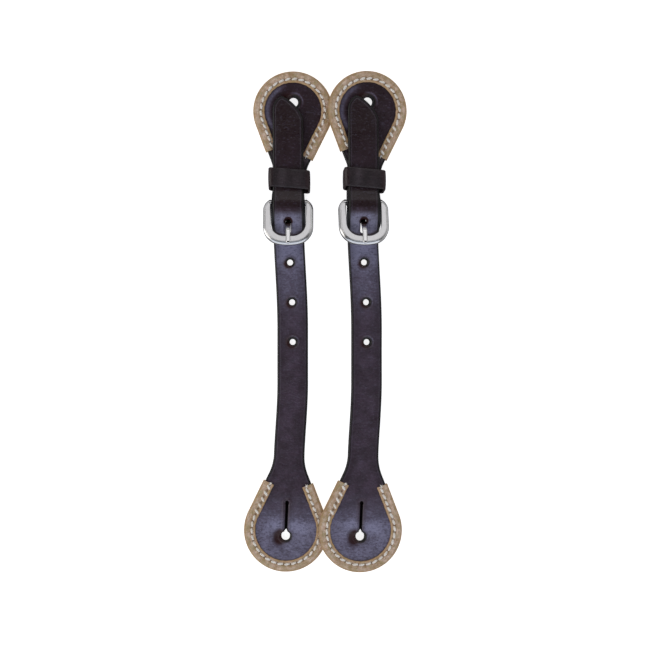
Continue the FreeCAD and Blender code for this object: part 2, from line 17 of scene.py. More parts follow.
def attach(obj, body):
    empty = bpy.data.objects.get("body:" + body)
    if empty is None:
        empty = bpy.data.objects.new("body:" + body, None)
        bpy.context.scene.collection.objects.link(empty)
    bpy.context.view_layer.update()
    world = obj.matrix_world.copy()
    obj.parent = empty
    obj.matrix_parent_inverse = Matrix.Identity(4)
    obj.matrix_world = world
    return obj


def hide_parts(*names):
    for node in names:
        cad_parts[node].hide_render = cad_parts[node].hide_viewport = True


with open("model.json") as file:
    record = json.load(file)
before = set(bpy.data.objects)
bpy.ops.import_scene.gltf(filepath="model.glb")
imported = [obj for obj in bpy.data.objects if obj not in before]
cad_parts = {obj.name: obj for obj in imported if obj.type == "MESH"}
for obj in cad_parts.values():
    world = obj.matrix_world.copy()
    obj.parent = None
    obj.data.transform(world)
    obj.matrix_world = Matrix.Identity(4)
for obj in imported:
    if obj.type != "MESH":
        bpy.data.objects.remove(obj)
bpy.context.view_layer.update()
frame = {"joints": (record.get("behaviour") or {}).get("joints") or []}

# Leather and rawhide
BILLET_WIDTH = 19.6
BILLET_THICK = 3.2
BUCKLE_STRAP_WIDTH = 20.8
BUCKLE_STRAP_THICK = 3.0
FOLD_THICK = 1.3
BINDING_WALL = 1.2
BINDING_BAND = 7.3
BINDING_ROLL = 2.2
FLANK_ANGLE = radians(23.5)

# Button ends: middle of the round, outer radius over the binding, lean, how far each leg
# of the binding runs up the flank past the round, which way the strap lies, and where the
# button hole is along the end
LOWER_END = dict(centre=(-2.1, -208.5), radius=26.8, lean=2.5, legs=(21.5, 22.5), way=1,
                 hole=-3.9)
UPPER_END = dict(centre=(2.4, 58.7), radius=25.4, lean=3.0, legs=(18.6, 22.8), way=-1,
                 hole=-5.6)
LOWER_NECK_FILLET = 30.0
UPPER_NECK_FILLET = 20.0

# Keyholes
BUTTON_HOLE_RADIUS = 3.0
SLIT_WIDTH = 2.0
SLIT_END_RADIUS = 1.35
SLIT_LENGTH = 21.0

# Billet: middle line across the strap and underside height, both against v, then holes
BILLET_MIDDLE = ((-170.0, -0.2), (-115.0, 2.2), (-80.0, 2.2), (-5.0, -0.6), (70.0, -0.8))
BILLET_UNDERSIDE = (
    (-240.0, BINDING_WALL), (-184.0, BINDING_WALL), (-150.0, 0.0), (-27.5, 0.0),
    (-2.5, 8.75), (-0.5, 8.75), (7.5, 6.1), (38.0, 6.1), (64.0, 4.9), (72.0, 4.9),
)
HOLE_PITCH = 25.4
ADJUSTING_HOLES = 3
ADJUSTING_HOLE_RADIUS = 2.2
TONGUE_HOLE_TOP = -9.7
TONGUE_HOLE_RADIUS = 2.75
TONGUE_SLOT_WIDTH = 4.4
TONGUE_SLOT_END = -19.4

# Billet tip, cut askew, as (offset from the middle line, v): on each side where it starts
# to narrow, the middle of its cheek and where the small round nose starts, then the apex
TIP_RIGHT = ((9.8, 53.5), (5.2, 61.3), (-2.0, 67.2))
TIP_LEFT = ((-9.8, 59.0), (-8.9, 63.2), (-6.2, 66.9))
TIP_APEX = (-4.2, 68.0)

# Buckle
HEEL_BAR_RADIUS = 1.9
HEEL_BAR_HEIGHT = 4.8
BUCKLE_MIDDLE = -0.6
FRAME_LEAN = radians(17.0)
FRAME_THICK = 3.4
FRAME_HALF_WIDTH = 16.0
FRAME_INNER_HALF_WIDTH = 11.2
FRAME_FRONT = -28.4
FRAME_FRONT_RADIUS = 30.0
FRAME_CORNER_RADIUS = 12.0
FRAME_INNER_FRONT = -22.7
FRAME_INNER_CORNER = 8.5
FRAME_HEEL_RADIUS = 8.0
FRAME_HEEL_TOP = 3.0
FRAME_BEVEL = 1.5
FRAME_BEVEL_DROP = 1.0
BAR_OVERLAP = 1.0

# Tongue
TONGUE_THICK = 2.0
TONGUE_WIDTH = 3.3
TONGUE_TIP = -26.2
TONGUE_EYE_RADIUS = 3.3
TONGUE_EYE_WIDTH = 4.0
TONGUE_LIFT_OFF = 0.2
TONGUE_STEP = (10.2, 18.4)
TONGUE_START_HEIGHT = 1.5
TONGUE_START = 2.4
TONGUE_NOSE = 1.6

# Fold of the buckle strap round the heel bar
FOLD_CLEARANCE = 0.1
FOLD_INNER = HEEL_BAR_RADIUS + FOLD_CLEARANCE
FOLD_HALF_WIDTH = 10.2
FOLD_SHOULDER = 6.0
TAIL_END = 22.5
CHAPE_SLOT_WIDTH = 5.4
CHAPE_SLOT_END = 7.5
CHAPE_ROWS = (CHAPE_SLOT_END + 3.0, TAIL_END - 2.5)

# The v at which the buckle strap's face and underside leave the fold, are down behind the
# buckle, rise or fall from there, and rest on the binding
FACE_STATIONS = (0.0, 7.0, 24.0, 33.0)
UNDER_STATIONS = (0.0, 8.0, 23.0, 32.0)

# Keeper
KEEPER_THICK = 1.3
KEEPER_MIDDLE = 0.1
KEEPER_INNER_HALF_WIDTH = 11.9
KEEPER_INNER_TOP = 9.9
KEEPER_FRONT = (9.5, 21.6)
KEEPER_LEAN = 2.5
KEEPER_SKEW = 0.08
KEEPER_CORNER = 1.1

# Thread and staples
THREAD_RADIUS = 0.5
STITCH_LENGTH = 3.2
STITCH_PITCH = 4.3
STITCH_INSET = 5.0
STAPLE_WIRE_RADIUS = 0.3
STAPLE_LENGTH = 6.0
STAPLE_ASIDE = 3.0

# The billet's leather: how much wider it is on each side in the buckle, and how much painted
# sheen (up to 1) or painted shade (below 0) its face gets, both against v
BUCKLE_SPREAD = ((-20.0, 0.0), (-13.0, 1.25), (-3.0, 1.25), (4.0, 0.6), (9.0, 0.0))
BILLET_SHEEN_SHADE = (
    (-240.0, 0.4), (-222.0, 0.6), (-206.0, 0.7), (-199.0, 0.34), (-192.0, 0.16),
    (-183.0, 0.05), (-165.0, 0.05), (-120.0, 0.04), (-75.0, 0.08), (-55.0, 0.36),
    (-46.0, 0.42), (-31.0, 1.45), (-14.0, 1.45), (-9.5, 0.9), (-5.0, 0.0), (-2.0, -0.3),
    (12.0, -0.3), (30.0, -0.2), (45.0, -0.3),
)

# Detail of the looks: how the holes' walls draw in, how far apart points are, and the rings
# of points at an edge, as distances in from it
TUCKED_HALF_WIDTH = 1.665
TONGUE_HOLE_LIP = (0.0, 0.8, 1.0, 0.4)
PIN_SHADE_SHIFT = 1.5
HOLE_DRAW = 0.3
HOLE_STEP = 0.4
KEYHOLE_STEP = 0.35
OUTLINE_STEP = 0.6
GRID_STEP = 1.0
LEATHER_RINGS = (0.1, 0.28, 0.5, 0.75, 1.0, 1.25, 1.5, 1.68, 1.85, 2.05, 2.4, 2.9)
METAL_RINGS = (0.08, 0.2, 0.35, 0.55, 0.8, 1.05, 1.25, 1.38, 1.5, 1.62, 1.75, 2.0, 2.4)
EDGE_ROUND = 1.2
CREASE_INSET = 1.75
CREASE_DEPTH = 0.11
VISIBLE_STITCH = 3.65

# Picture, in metres: its width at the floor, its middle, and the camera's height
PICTURE_SPAN = 0.4128
PICTURE_MIDDLE = (-0.0018, -0.0006)
CAMERA_HEIGHT = 1.3
SENSOR = 36.0

random.seed(4)


# ---- Lines and outlines, in millimetres

def smooth(t):
    """Ease from 0 to 1 with level ends."""
    t = np.clip(t, 0.0, 1.0)
    return t * t * (3.0 - 2.0 * t)


def eased(stations, v):
    """Value at v of a line that eases from each station to the next."""
    v = np.asarray(v, float)
    value = np.full(v.shape, float(stations[0][1]))
    for (v0, a), (v1, b) in zip(stations, stations[1:]):
        value = np.where(v > v0, a + (b - a) * smooth((v - v0) / (v1 - v0)), value)
    return value


def bell(x, width):
    """1 where x is 0, and down to nothing past the width on both sides."""
    return np.exp(-(x / width) ** 2)


def ripple(points, size, phase=0.0):
    """Smooth unevenness, about -1 to 1, with features of the given size."""
    return np.array([noise.noise((x / size + phase, y / size, phase)) for x, y in points])


def circle(count):
    """Even angles once round."""
    return np.linspace(0.0, 2.0 * pi, count, endpoint=False)


def end_axes(end):
    """A button end's directions across and towards the strap."""
    along = end["way"] * np.array((sin(radians(end["lean"])), cos(radians(end["lean"]))))
    return np.array((along[1], -along[0])), along


def end_point(end, points):
    """Points given across and towards the strap from a button end's middle."""
    across, along = end_axes(end)
    points = np.asarray(points, float)
    return np.array(end["centre"]) + points[..., :1] * across + points[..., 1:2] * along


def end_local(end, points):
    """A button end's own coordinates, across and towards the strap, of points."""
    across, along = end_axes(end)
    offset = np.asarray(points, float) - np.array(end["centre"])
    return np.stack((offset @ across, offset @ along), -1)


def hole_centre(end):
    return end_point(end, (0.0, end["hole"]))


def from_hole(end, points):
    """How far across and towards the strap points are from a button hole's middle."""
    x, y = end_local(end, points).T
    return x, y - end["hole"]


def arc(centre, radius, first, last):
    """Points along an arc, angles in radians."""
    count = max(4, int(abs(last - first) * radius / 0.12))
    angles = np.linspace(first, last, count)
    return np.stack((centre[0] + radius * np.cos(angles), centre[1] + radius * np.sin(angles)), -1)


def arc_through(*three):
    """Points along the arc from one place through a second to a third."""
    a, b, c = np.array(three)
    centre = np.linalg.solve(2.0 * np.array((b - a, c - a)), (b @ b - a @ a, c @ c - a @ a))
    turns = np.unwrap([np.arctan2(*(one - centre)[::-1]) for one in (a, b, c)])
    return arc(centre, np.hypot(*(a - centre)), turns[0], turns[2])


def resample(points, step, closed=True):
    """The same line with points an even step apart."""
    points = np.asarray(points, float)
    if closed:
        points = np.vstack((points, points[:1]))
    run = np.concatenate(((0.0,), np.cumsum(np.hypot(*np.diff(points, axis=0).T))))
    count = max(8, int(round(run[-1] / step)))
    places = np.linspace(0.0, run[-1], count, endpoint=not closed)
    return np.stack((np.interp(places, run, points[:, 0]), np.interp(places, run, points[:, 1])), -1)


def loop_of(points, step, hole=False):
    """A closed line with even points, counterclockwise, or clockwise for a hole."""
    loop = resample(points, step)
    x, y = loop.T
    area = np.sum(x * np.roll(y, -1) - np.roll(x, -1) * y)
    return loop[::-1] if (area > 0.0) == hole else loop


def round_end(end, radius, half_width, fillet):
    """Outline of a button end, from the strap's edge on side +1 round to side -1."""
    phi = FLANK_ANGLE
    run = (radius * cos(phi) - half_width) / sin(phi)
    level = radius * sin(phi) + run * cos(phi) + fillet * tan(phi / 2.0)
    right = arc((half_width + fillet, level), fillet, pi, pi + phi)
    left = arc((-half_width - fillet, level), fillet, -phi, 0.0)
    return end_point(end, np.vstack((right, arc((0.0, 0.0), radius, phi, -pi - phi), left)))


def billet_outline():
    """The billet's outline. Squeezed in the buckle, it spreads a little there."""
    half = BILLET_WIDTH / 2.0
    end = round_end(LOWER_END, LOWER_END["radius"] - BINDING_WALL, half, LOWER_NECK_FILLET)
    first_v = end[0][1] + 1.0
    start_gap = (end[0][0] + end[-1][0]) / 2.0 - float(eased(BILLET_MIDDLE, first_v))

    def edge(side, last_v):
        v = np.linspace(first_v, last_v, 400)
        middle = eased(BILLET_MIDDLE, v) + start_gap * (1.0 - smooth((v - first_v) / 20.0))
        return np.stack((middle + side * (half + eased(BUCKLE_SPREAD, v)), v), -1)

    def at(x, v):
        return float(eased(BILLET_MIDDLE, v)) + x, v

    right = [at(*place) for place in TIP_RIGHT]
    left = [at(*place) for place in TIP_LEFT]
    over = arc_through(left[2], at(*TIP_APEX), right[2])
    tip = (arc_through(*left), over, arc_through(*right[::-1]))
    return np.vstack((end, edge(-1, left[0][1])) + tip + (edge(1, right[0][1])[::-1],))


def buckle_strap_outline():
    half = BUCKLE_STRAP_WIDTH / 2.0
    end = round_end(UPPER_END, UPPER_END["radius"] - BINDING_WALL, half, UPPER_NECK_FILLET)
    left = BUCKLE_MIDDLE - FOLD_HALF_WIDTH
    right = BUCKLE_MIDDLE + FOLD_HALF_WIDTH
    slot_left = BUCKLE_MIDDLE - CHAPE_SLOT_WIDTH / 2.0
    slot_right = BUCKLE_MIDDLE + CHAPE_SLOT_WIDTH / 2.0
    fold = ((right, FOLD_SHOULDER), (right, 0.0), (slot_right, 0.0), (slot_right, CHAPE_SLOT_END),
            (slot_left, CHAPE_SLOT_END), (slot_left, 0.0), (left, 0.0), (left, FOLD_SHOULDER))
    return np.vstack((end, fold))


def keyhole_loop(end):
    """A round hole with a slit towards the strap, the slit's end round too."""
    half = SLIT_WIDTH / 2.0
    low = end["hole"]
    mouth = asin(half / BUTTON_HOLE_RADIUS)
    cap = asin(half / SLIT_END_RADIUS)
    hole = arc((0.0, low), BUTTON_HOLE_RADIUS, pi / 2.0 + mouth, pi * 2.5 - mouth)
    over = arc((0.0, low + SLIT_LENGTH), SLIT_END_RADIUS, cap - pi / 2.0, pi * 1.5 - cap)
    return loop_of(end_point(end, np.vstack((hole, over))), KEYHOLE_STEP, hole=True)


def tongue_hole_loop():
    half = TONGUE_SLOT_WIDTH / 2.0
    centre = (BUCKLE_MIDDLE, TONGUE_HOLE_TOP - TONGUE_HOLE_RADIUS)
    mouth = asin(half / TONGUE_HOLE_RADIUS)
    over = arc(centre, TONGUE_HOLE_RADIUS, mouth - pi / 2.0, pi * 1.5 - mouth)
    under = arc((BUCKLE_MIDDLE, TONGUE_SLOT_END + half), half, pi, pi * 2.0)
    return loop_of(np.vstack((over, under)), HOLE_STEP, hole=True)


def adjusting_hole_loops():
    first = TONGUE_HOLE_TOP - TONGUE_HOLE_RADIUS
    loops = []
    for number in range(1, ADJUSTING_HOLES + 1):
        v = first - number * HOLE_PITCH
        round_hole = arc((float(eased(BILLET_MIDDLE, v)), v), ADJUSTING_HOLE_RADIUS, 0.0, 2.0 * pi)
        loops.append(loop_of(round_hole[:-1], HOLE_STEP, hole=True))
    return loops


# ---- Plates: a flat outline with holes, given a shaped face, walls and back

def gap_to(points, line):
    """Distance from each point to a line of points that is closed round."""
    a = line
    ab = np.roll(line, -1, axis=0) - a
    length = np.maximum((ab ** 2).sum(1), 1e-12)
    best = np.full(len(points), 1e9)
    for start in range(0, len(points), 2000):
        block = points[start:start + 2000, None, :] - a
        along = np.clip((block * ab).sum(2) / length, 0.0, 1.0)
        away = block - along[..., None] * ab
        best[start:start + 2000] = np.sqrt((away ** 2).sum(2).min(1))
    return best


def gap_to_any(points, loops):
    return np.min([gap_to(points, loop) for loop in loops], axis=0)


def inside(points, loop):
    x, y = points[:, :1], points[:, 1:2]
    ax, ay = loop.T
    bx, by = np.roll(loop, -1, axis=0).T
    crosses = (ay > y) != (by > y)
    at = (bx - ax) * (y - ay) / np.where(by == ay, 1e-12, by - ay) + ax
    return (crosses & (x < at)).sum(1) % 2 == 1


def within(points, loops):
    """Which points are inside the outline, the first loop, and outside its holes."""
    result = inside(points, loops[0])
    for hole in loops[1:]:
        result &= ~inside(points, hole)
    return result


def hex_grid(loop, step):
    """Even points over a loop's box, every second row half a step across."""
    low, high = loop.min(0), loop.max(0)
    rows = []
    for row, v in enumerate(np.arange(low[1], high[1], step * sqrt(0.75))):
        across = np.arange(low[0] + step * 0.5 * (row % 2), high[0], step)
        rows.append(np.stack((across, np.full(len(across), v)), -1))
    return np.vstack(rows)


def edge_rings(loops, rings):
    """Points a little way in from every edge, and how far in each should be."""
    points = []
    depths = []
    for loop in loops:
        heading = np.roll(loop, -1, axis=0) - np.roll(loop, 1, axis=0)
        heading /= np.hypot(*heading.T)[:, None]
        inward = np.stack((-heading[:, 1], heading[:, 0]), -1)
        for ring in rings:
            points.append(loop + inward * ring)
            depths.append(np.full(len(loop), ring))
    return np.vstack(points), np.concatenate(depths)


def triangulate(loops, rings, step):
    """Points and triangles of an outline with holes: rings of points along every edge,
    and an even grid between them."""
    near, depths = edge_rings(loops, rings)
    near = near[(gap_to_any(near, loops) > depths * 0.93) & within(near, loops)]
    grid = hex_grid(loops[0], step)
    grid = grid[within(grid, loops)]
    grid = grid[gap_to_any(grid, loops) > rings[-1] + step * 0.45]
    seeds = np.vstack(loops + [near, grid])
    edges = []
    start = 0
    for loop in loops:
        count = len(loop)
        edges += [(start + i, start + (i + 1) % count) for i in range(count)]
        start += count
    made = delaunay_2d_cdt([Vector(p) for p in seeds], edges, [], 0, 1e-6)
    flat = np.array([tuple(p) for p in made[0]])
    triangles = np.array(made[2])
    triangles = triangles[within(flat[triangles].mean(1), loops)]
    used = np.unique(triangles)
    index = np.full(len(flat), -1)
    index[used] = np.arange(len(used))
    return flat[used], index[triangles]


def rim_edges(triangles):
    """The directed sides that only one triangle has."""
    sides = np.vstack((triangles[:, [0, 1]], triangles[:, [1, 2]], triangles[:, [2, 0]]))
    known = {(a, b) for a, b in sides.tolist()}
    return sorted((a, b) for a, b in known if (b, a) not in known)


def plate(loops, rings, step, measure, shape, levels=(0.35, 0.7)):
    """A closed plate: its points and faces, and its measures with each point's share of
    the way down. measure(flat) gives named values, and shape(flat, values, down) gives
    the places at a share of the way down the wall."""
    flat, triangles = triangulate(loops, rings, step)
    values = measure(flat)
    rim = rim_edges(triangles)
    rim_points = sorted({a for a, _ in rim})
    rim_index = {point: number for number, point in enumerate(rim_points)}
    rim_flat = flat[rim_points]
    rim_values = {key: one[rim_points] for key, one in values.items()}
    count = len(flat)
    places = [shape(flat, values, 0.0), shape(flat, values, 1.0)]
    places += [shape(rim_flat, rim_values, level) for level in levels]
    faces = triangles.tolist() + (triangles[:, ::-1] + count).tolist()

    def corner(point, level):
        if level == 0:
            return point
        if level == len(levels) + 1:
            return point + count
        return 2 * count + (level - 1) * len(rim_points) + rim_index[point]

    for a, b in rim:
        for level in range(len(levels) + 1):
            below = level + 1
            faces.append((corner(b, level), corner(a, level), corner(a, below), corner(b, below)))
    measures = {key: np.concatenate([one, one] + [rim_values[key]] * len(levels))
                for key, one in values.items()}
    shares = [np.full(count, 0.0), np.full(count, 1.0)]
    shares += [np.full(len(rim_points), level) for level in levels]
    measures["down"] = np.concatenate(shares)
    return np.vstack(places), faces, measures


def rounding(gap, radius):
    """How far a rounded edge drops at a distance in from it."""
    reach = np.clip(radius - gap, 0.0, radius)
    return radius - np.sqrt(np.maximum(radius * radius - reach * reach, 0.0))


# ---- Swept pieces

def sweep(rings, closed=False):
    """Faces that join rings of equal count, with end caps unless the path is closed."""
    count, size = rings.shape[:2]
    faces = []
    for ring in range(count if closed else count - 1):
        here, there = ring * size, ((ring + 1) % count) * size
        for i in range(size):
            j = (i + 1) % size
            faces.append((here + i, here + j, there + j, there + i))
    if not closed:
        faces.append(tuple(range(size))[::-1])
        faces.append(tuple(range((count - 1) * size, count * size)))
    return rings.reshape(-1, 3), faces


def joined(parts):
    """Several (points, faces) pairs as one."""
    points, faces, start = [], [], 0
    for part_points, part_faces in parts:
        points.append(part_points)
        faces += [tuple(i + start for i in one) for one in part_faces]
        start += len(part_points)
    return np.vstack(points), faces


def new_mesh(name, points, faces, sharp=40.0, **attributes):
    mesh = bpy.data.meshes.new(name)
    mesh.from_pydata(points.tolist(), [], [list(map(int, one)) for one in faces])
    for key, values in attributes.items():
        layer = mesh.attributes.new(key, "FLOAT", "POINT")
        layer.data.foreach_set("value", np.asarray(values, np.float32))
    mesh.shade_smooth()
    mesh.set_sharp_from_angle(angle=radians(sharp))
    return mesh


# ---- Where the two straps lie, from the frame

def strap_places():
    """For each strap, the matrix from its own millimetres to the row frame in metres."""
    places = {}
    for joint in frame["joints"]:
        hand, _, name = joint["name"].partition("_")
        if name != "frame_hinge":
            continue
        across = -Vector(joint["axis"]).normalized()
        along = Vector((0.0, 1.0, 0.0))
        up = across.cross(along)
        turn = Matrix((across, along, up)).transposed()
        bar = turn @ Vector((BUCKLE_MIDDLE, 0.0, HEEL_BAR_HEIGHT)) / 1000.0
        origin = Vector(joint["pos_m"]) - bar
        places[hand] = Matrix.Translation(origin) @ turn.to_4x4() @ Matrix.Scale(0.001, 4)
    return places


PLACES = strap_places()


def put(name, data):
    """A new object in the scene."""
    made = bpy.data.objects.new(name, data)
    bpy.context.scene.collection.objects.link(made)
    return made


def place_pair(piece, mesh, body, slot, material, *nodes):
    """The piece on both straps, riding its body and standing for its CAD nodes."""
    for hand, matrix in PLACES.items():
        copy = mesh.copy()
        copy.transform(matrix)
        copy.materials.append(material)
        obj = put(hand + "_" + piece, copy)
        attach(obj, hand + "_" + body)
        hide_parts(*[hand + "_" + node for node in nodes])


# ---- Leather straps

def squeezed(end, flat, gap, down):
    """Points of a level below a slit's mouth, moved so that the cut closes as it goes down
    and bends a little, as a knife cut in thick leather does."""
    x, y = from_hole(end, flat)
    share = smooth((y - 2.7) / 2.3) * smooth((SLIT_LENGTH + 3.0 - y) / 1.2) * bell(gap, 0.9)
    half = np.where(y > SLIT_LENGTH - 0.9, SLIT_END_RADIUS, SLIT_WIDTH / 2.0)
    aside = np.sign(x) * np.minimum(np.abs(x), half)
    shut = 0.3 + 0.66 * smooth(down / 0.5)
    bend = 0.32 * smooth((down - 0.6) / 0.4)
    across, _ = end_axes(end)
    return flat + (share * (bend - aside * shut))[:, None] * across


def drawn_in(flat, centres, radius, down):
    """How far points at the wall of a punched hole are drawn in below its mouth."""
    move = np.zeros(flat.shape)
    for centre in centres:
        offset = centre - flat
        distance = np.maximum(np.hypot(*offset.T), 1e-6)
        share = bell(distance - radius, 0.9) * HOLE_DRAW * smooth(down / 0.35) / distance
        move += offset * share[:, None]
    return move


def tucked(flat, gap, down):
    """How far points round the tongue's hole are drawn in below its mouth, towards the
    tongue, and over it at the hole's top."""
    aside = flat[:, 0] - BUCKLE_MIDDLE
    slack = np.maximum(np.minimum(np.abs(aside), TONGUE_HOLE_RADIUS) - TUCKED_HALF_WIDTH, 0.0)
    across = -np.sign(aside) * slack * bell(gap, 1.3) * (0.4 + 0.6 * smooth(down / 0.7))
    at_top = smooth((flat[:, 1] - TONGUE_HOLE_TOP + 2.2) / 1.6)
    over = np.interp(down, (0.0, 0.35, 0.7, 1.0), TONGUE_HOLE_LIP)
    return np.column_stack((across, -over * at_top * bell(gap, 2.4)))


def dish(end, flat):
    """How much a point is in the hollow that a button's head presses beside its hole. The look paints the
    hollow dark, as shade.
    """
    x, y = from_hole(end, flat)
    return bell(x + 4.0 * end["way"], 3.6) * bell(y + 0.8, 4.6)


def slit_shift(end, flat):
    """How much nearer a keyhole's dark rim of painted shade keeps to its slit than to its round hole."""
    return 0.85 * smooth((from_hole(end, flat)[1] - BUTTON_HOLE_RADIUS) / 2.0)


def hole_side(flat, centres, reach):
    """Which side of the nearest hole a point is on: 1 at its lower left, -1 opposite,
    fading out with distance. The look paints shade on the lower left and a highlight opposite."""
    value = np.zeros(len(flat))
    for centre in centres:
        offset = flat - centre
        distance = np.hypot(*offset.T)
        toward = -offset.sum(1) / np.maximum(distance, 1e-6) / sqrt(2.0)
        value += toward * np.exp(-(distance / reach) ** 4)
    return value


def hole_rim(gap, side):
    """Leather puffed up round a punched hole, less on its lower left side, and rounded into it."""
    return (0.38 - 0.3 * side) * bell(gap - 1.25, 0.75) - rounding(gap, 0.7)


def leather_face(flat, edge_gap):
    """Height above the plain face: rounded edges, a creased line, a little unevenness."""
    crease = CREASE_DEPTH * bell(edge_gap - CREASE_INSET, 0.26)
    uneven = 0.3 * ripple(flat, 15.0, 3.1) + 0.1 * ripple(flat, 5.0, 7.7)
    uneven += 0.035 * ripple(flat, 2.2, 5.3)
    crown = 0.35 * smooth(edge_gap / 8.0) - 0.2
    return uneven + crown - crease - rounding(edge_gap, EDGE_ROUND)


def surface_heights(stations, thick, v):
    """Height over v of the face of a strap whose underside eases between stations."""
    under_v = np.linspace(stations[0][0], stations[-1][0], 2000)
    under = eased(stations, under_v)
    slope = np.gradient(under, under_v)
    length = np.hypot(1.0, slope)
    return np.interp(v, under_v - thick * slope / length, under + thick / length)


def under_bar(flat):
    """The v near which the billet goes out of sight under the frame's front bar, where a shadow is painted on
    it.
    """
    straight = FRAME_INNER_HALF_WIDTH - FRAME_INNER_CORNER
    aside = np.maximum(np.abs(flat[:, 0] - BUCKLE_MIDDLE) - straight, 0.0)
    corner = np.sqrt(np.maximum(FRAME_INNER_CORNER ** 2 - aside ** 2, 0.0))
    level = FRAME_INNER_FRONT + FRAME_INNER_CORNER - corner
    return level * cos(FRAME_LEAN) + FRAME_THICK * sin(FRAME_LEAN)


def billet_mesh():
    outline = loop_of(billet_outline(), OUTLINE_STEP)
    keyhole = keyhole_loop(LOWER_END)
    pin_hole = tongue_hole_loop()
    punched = adjusting_hole_loops()
    centres = [loop.mean(0) for loop in punched]
    key_centre = hole_centre(LOWER_END)

    def measure(flat):
        v = flat[:, 1]
        pressed = dish(LOWER_END, flat)
        side = hole_side(flat, centres, 4.2)
        key_side = hole_side(flat, [key_centre], 6.5)
        key_gap = gap_to(flat, keyhole)
        pin_gap = gap_to(flat, pin_hole)
        hole = np.min((key_gap, pin_gap, gap_to_any(flat, punched)), axis=0)
        # Painted highlight on the upper right rim of each punched hole and of the keyhole
        lit_rim = 1.5 * np.maximum(-side, 0.0) + 1.1 * np.maximum(-key_side, 0.0)
        x, y = end_local(LOWER_END, flat).T
        bloom = eased(BILLET_SHEEN_SHADE, v) + bell(hole - 1.7, 0.55) * lit_rim
        # Two painted highlights on the lower end's face, either side of its keyhole towards the strap
        bloom += 0.7 * bell(x - 7.5, 5.0) * bell(y - 2.4, 3.6)
        bloom += 0.6 * bell(x + 6.4, 3.6) * bell(y - 4.3, 3.6)
        # Painted shade in the button's hollow, and a painted shadow where the billet goes under the front bar
        bloom -= 0.6 * pressed + 1.9 * bell(v - under_bar(flat), 1.3)
        # shown sets how far the dark ring of painted shade reaches round each hole
        shown = np.where(key_gap <= hole + 1e-9, key_gap + slit_shift(LOWER_END, flat), hole)
        shown = np.where(pin_gap <= hole + 1e-9, pin_gap + PIN_SHADE_SHIFT, shown)
        # dish takes the button's hollow, the tongue hole's top and each hole's lower left side, all painted
        # dark as shade
        pin_top = smooth((v - TONGUE_HOLE_TOP + 4.5) / 3.0) * bell(pin_gap, 0.6)
        return dict(edge=np.maximum(gap_to(flat, outline) - eased(BUCKLE_SPREAD, v), 0.0),
                    key=key_gap, pin=pin_gap, hole=hole, side=side, shown=shown, bloom=bloom,
                    dish=np.maximum(pressed, pin_top) + 0.9 * np.maximum(side, 0.0))

    def shape(flat, near, down):
        v = flat[:, 1]
        top = surface_heights(BILLET_UNDERSIDE, BILLET_THICK, v) + leather_face(flat, near["edge"])
        top += hole_rim(near["hole"], near["side"]) - 0.9 * dish(LOWER_END, flat)
        bottom = eased(BILLET_UNDERSIDE, v) + rounding(np.minimum(near["edge"], near["hole"]), 0.5)
        shifted = squeezed(LOWER_END, flat, near["key"], down) + tucked(flat, near["pin"], down)
        shifted += drawn_in(flat, centres, ADJUSTING_HOLE_RADIUS, down)
        below = 1.0 - smooth(from_hole(LOWER_END, flat)[1] / 2.0)
        shifted += drawn_in(flat, [key_centre], BUTTON_HOLE_RADIUS, down) * below[:, None]
        return np.column_stack((shifted, top + (bottom - top) * down))

    loops = [outline, keyhole, pin_hole] + punched
    points, faces, values = plate(loops, LEATHER_RINGS, GRID_STEP, measure, shape)
    return new_mesh("billet", points, faces, 60.0, **leather_values(values))


def leather_values(values):
    """The measures that the leather's look reads."""
    kept = {key: values[key] for key in ("edge", "bloom", "down", "dish")}
    return dict(kept, hole=values["shown"])


def buckle_strap_plate():
    outline = loop_of(buckle_strap_outline(), OUTLINE_STEP)
    keyhole = keyhole_loop(UPPER_END)
    real_edge = outline[outline[:, 1] > 0.8]
    fold = HEEL_BAR_HEIGHT + FOLD_INNER
    low = HEEL_BAR_HEIGHT - FOLD_INNER
    under = tuple(zip(UNDER_STATIONS, (fold, low, low, BINDING_WALL)))
    high = low + BUCKLE_STRAP_THICK
    face = tuple(zip(FACE_STATIONS, (fold + FOLD_THICK, high, high, BINDING_WALL + BUCKLE_STRAP_THICK)))

    def measure(flat):
        x, y = end_local(UPPER_END, flat).T
        # Painted sheen on a band of the upper end, a little painted shade on the rest, and a painted
        # highlight arc beyond the keyhole's upper right
        strip = bell(np.hypot(x, y) - 16.4, 1.7) * smooth((x - 3.0) / 8.0)
        gap = gap_to(flat, keyhole)
        lit_rim = np.maximum(-hole_side(flat, [hole_centre(UPPER_END)], 7.5), 0.0)
        bloom = 0.4 * strip - 0.2 * (1.0 - strip) + 1.4 * bell(gap - 2.9, 0.5) * lit_rim
        # shown widens the keyhole's dark rim of painted shade
        return dict(edge=gap_to(flat, real_edge), hole=gap, dish=dish(UPPER_END, flat),
                    shown=0.6 * gap + slit_shift(UPPER_END, flat), bloom=bloom)

    def shape(flat, near, down):
        top = eased(face, flat[:, 1]) + leather_face(flat, near["edge"])
        top += hole_rim(near["hole"], 0.0) - 0.55 * near["dish"]
        bottom = eased(under, flat[:, 1]) + rounding(np.minimum(near["edge"], near["hole"]), 0.4)
        top = np.maximum(top, bottom + 0.2)
        shifted = squeezed(UPPER_END, flat, near["hole"], down)
        return np.column_stack((shifted, top + (bottom - top) * down))

    return plate([outline, keyhole], LEATHER_RINGS, GRID_STEP, measure, shape)


def ribbon(line, normals, left, right):
    """A ribbon of the fold's leather along a side line of (v, z), with rounded edges."""
    section = np.array(rounded_section(right - left, FOLD_THICK, 0.45))
    middle = BUCKLE_MIDDLE + (left + right) / 2.0
    across = np.tile(middle + section[:, 0], (len(line), 1))
    return sweep(np.dstack((across, line[:, None] + normals[:, None] * section[:, 1:])))


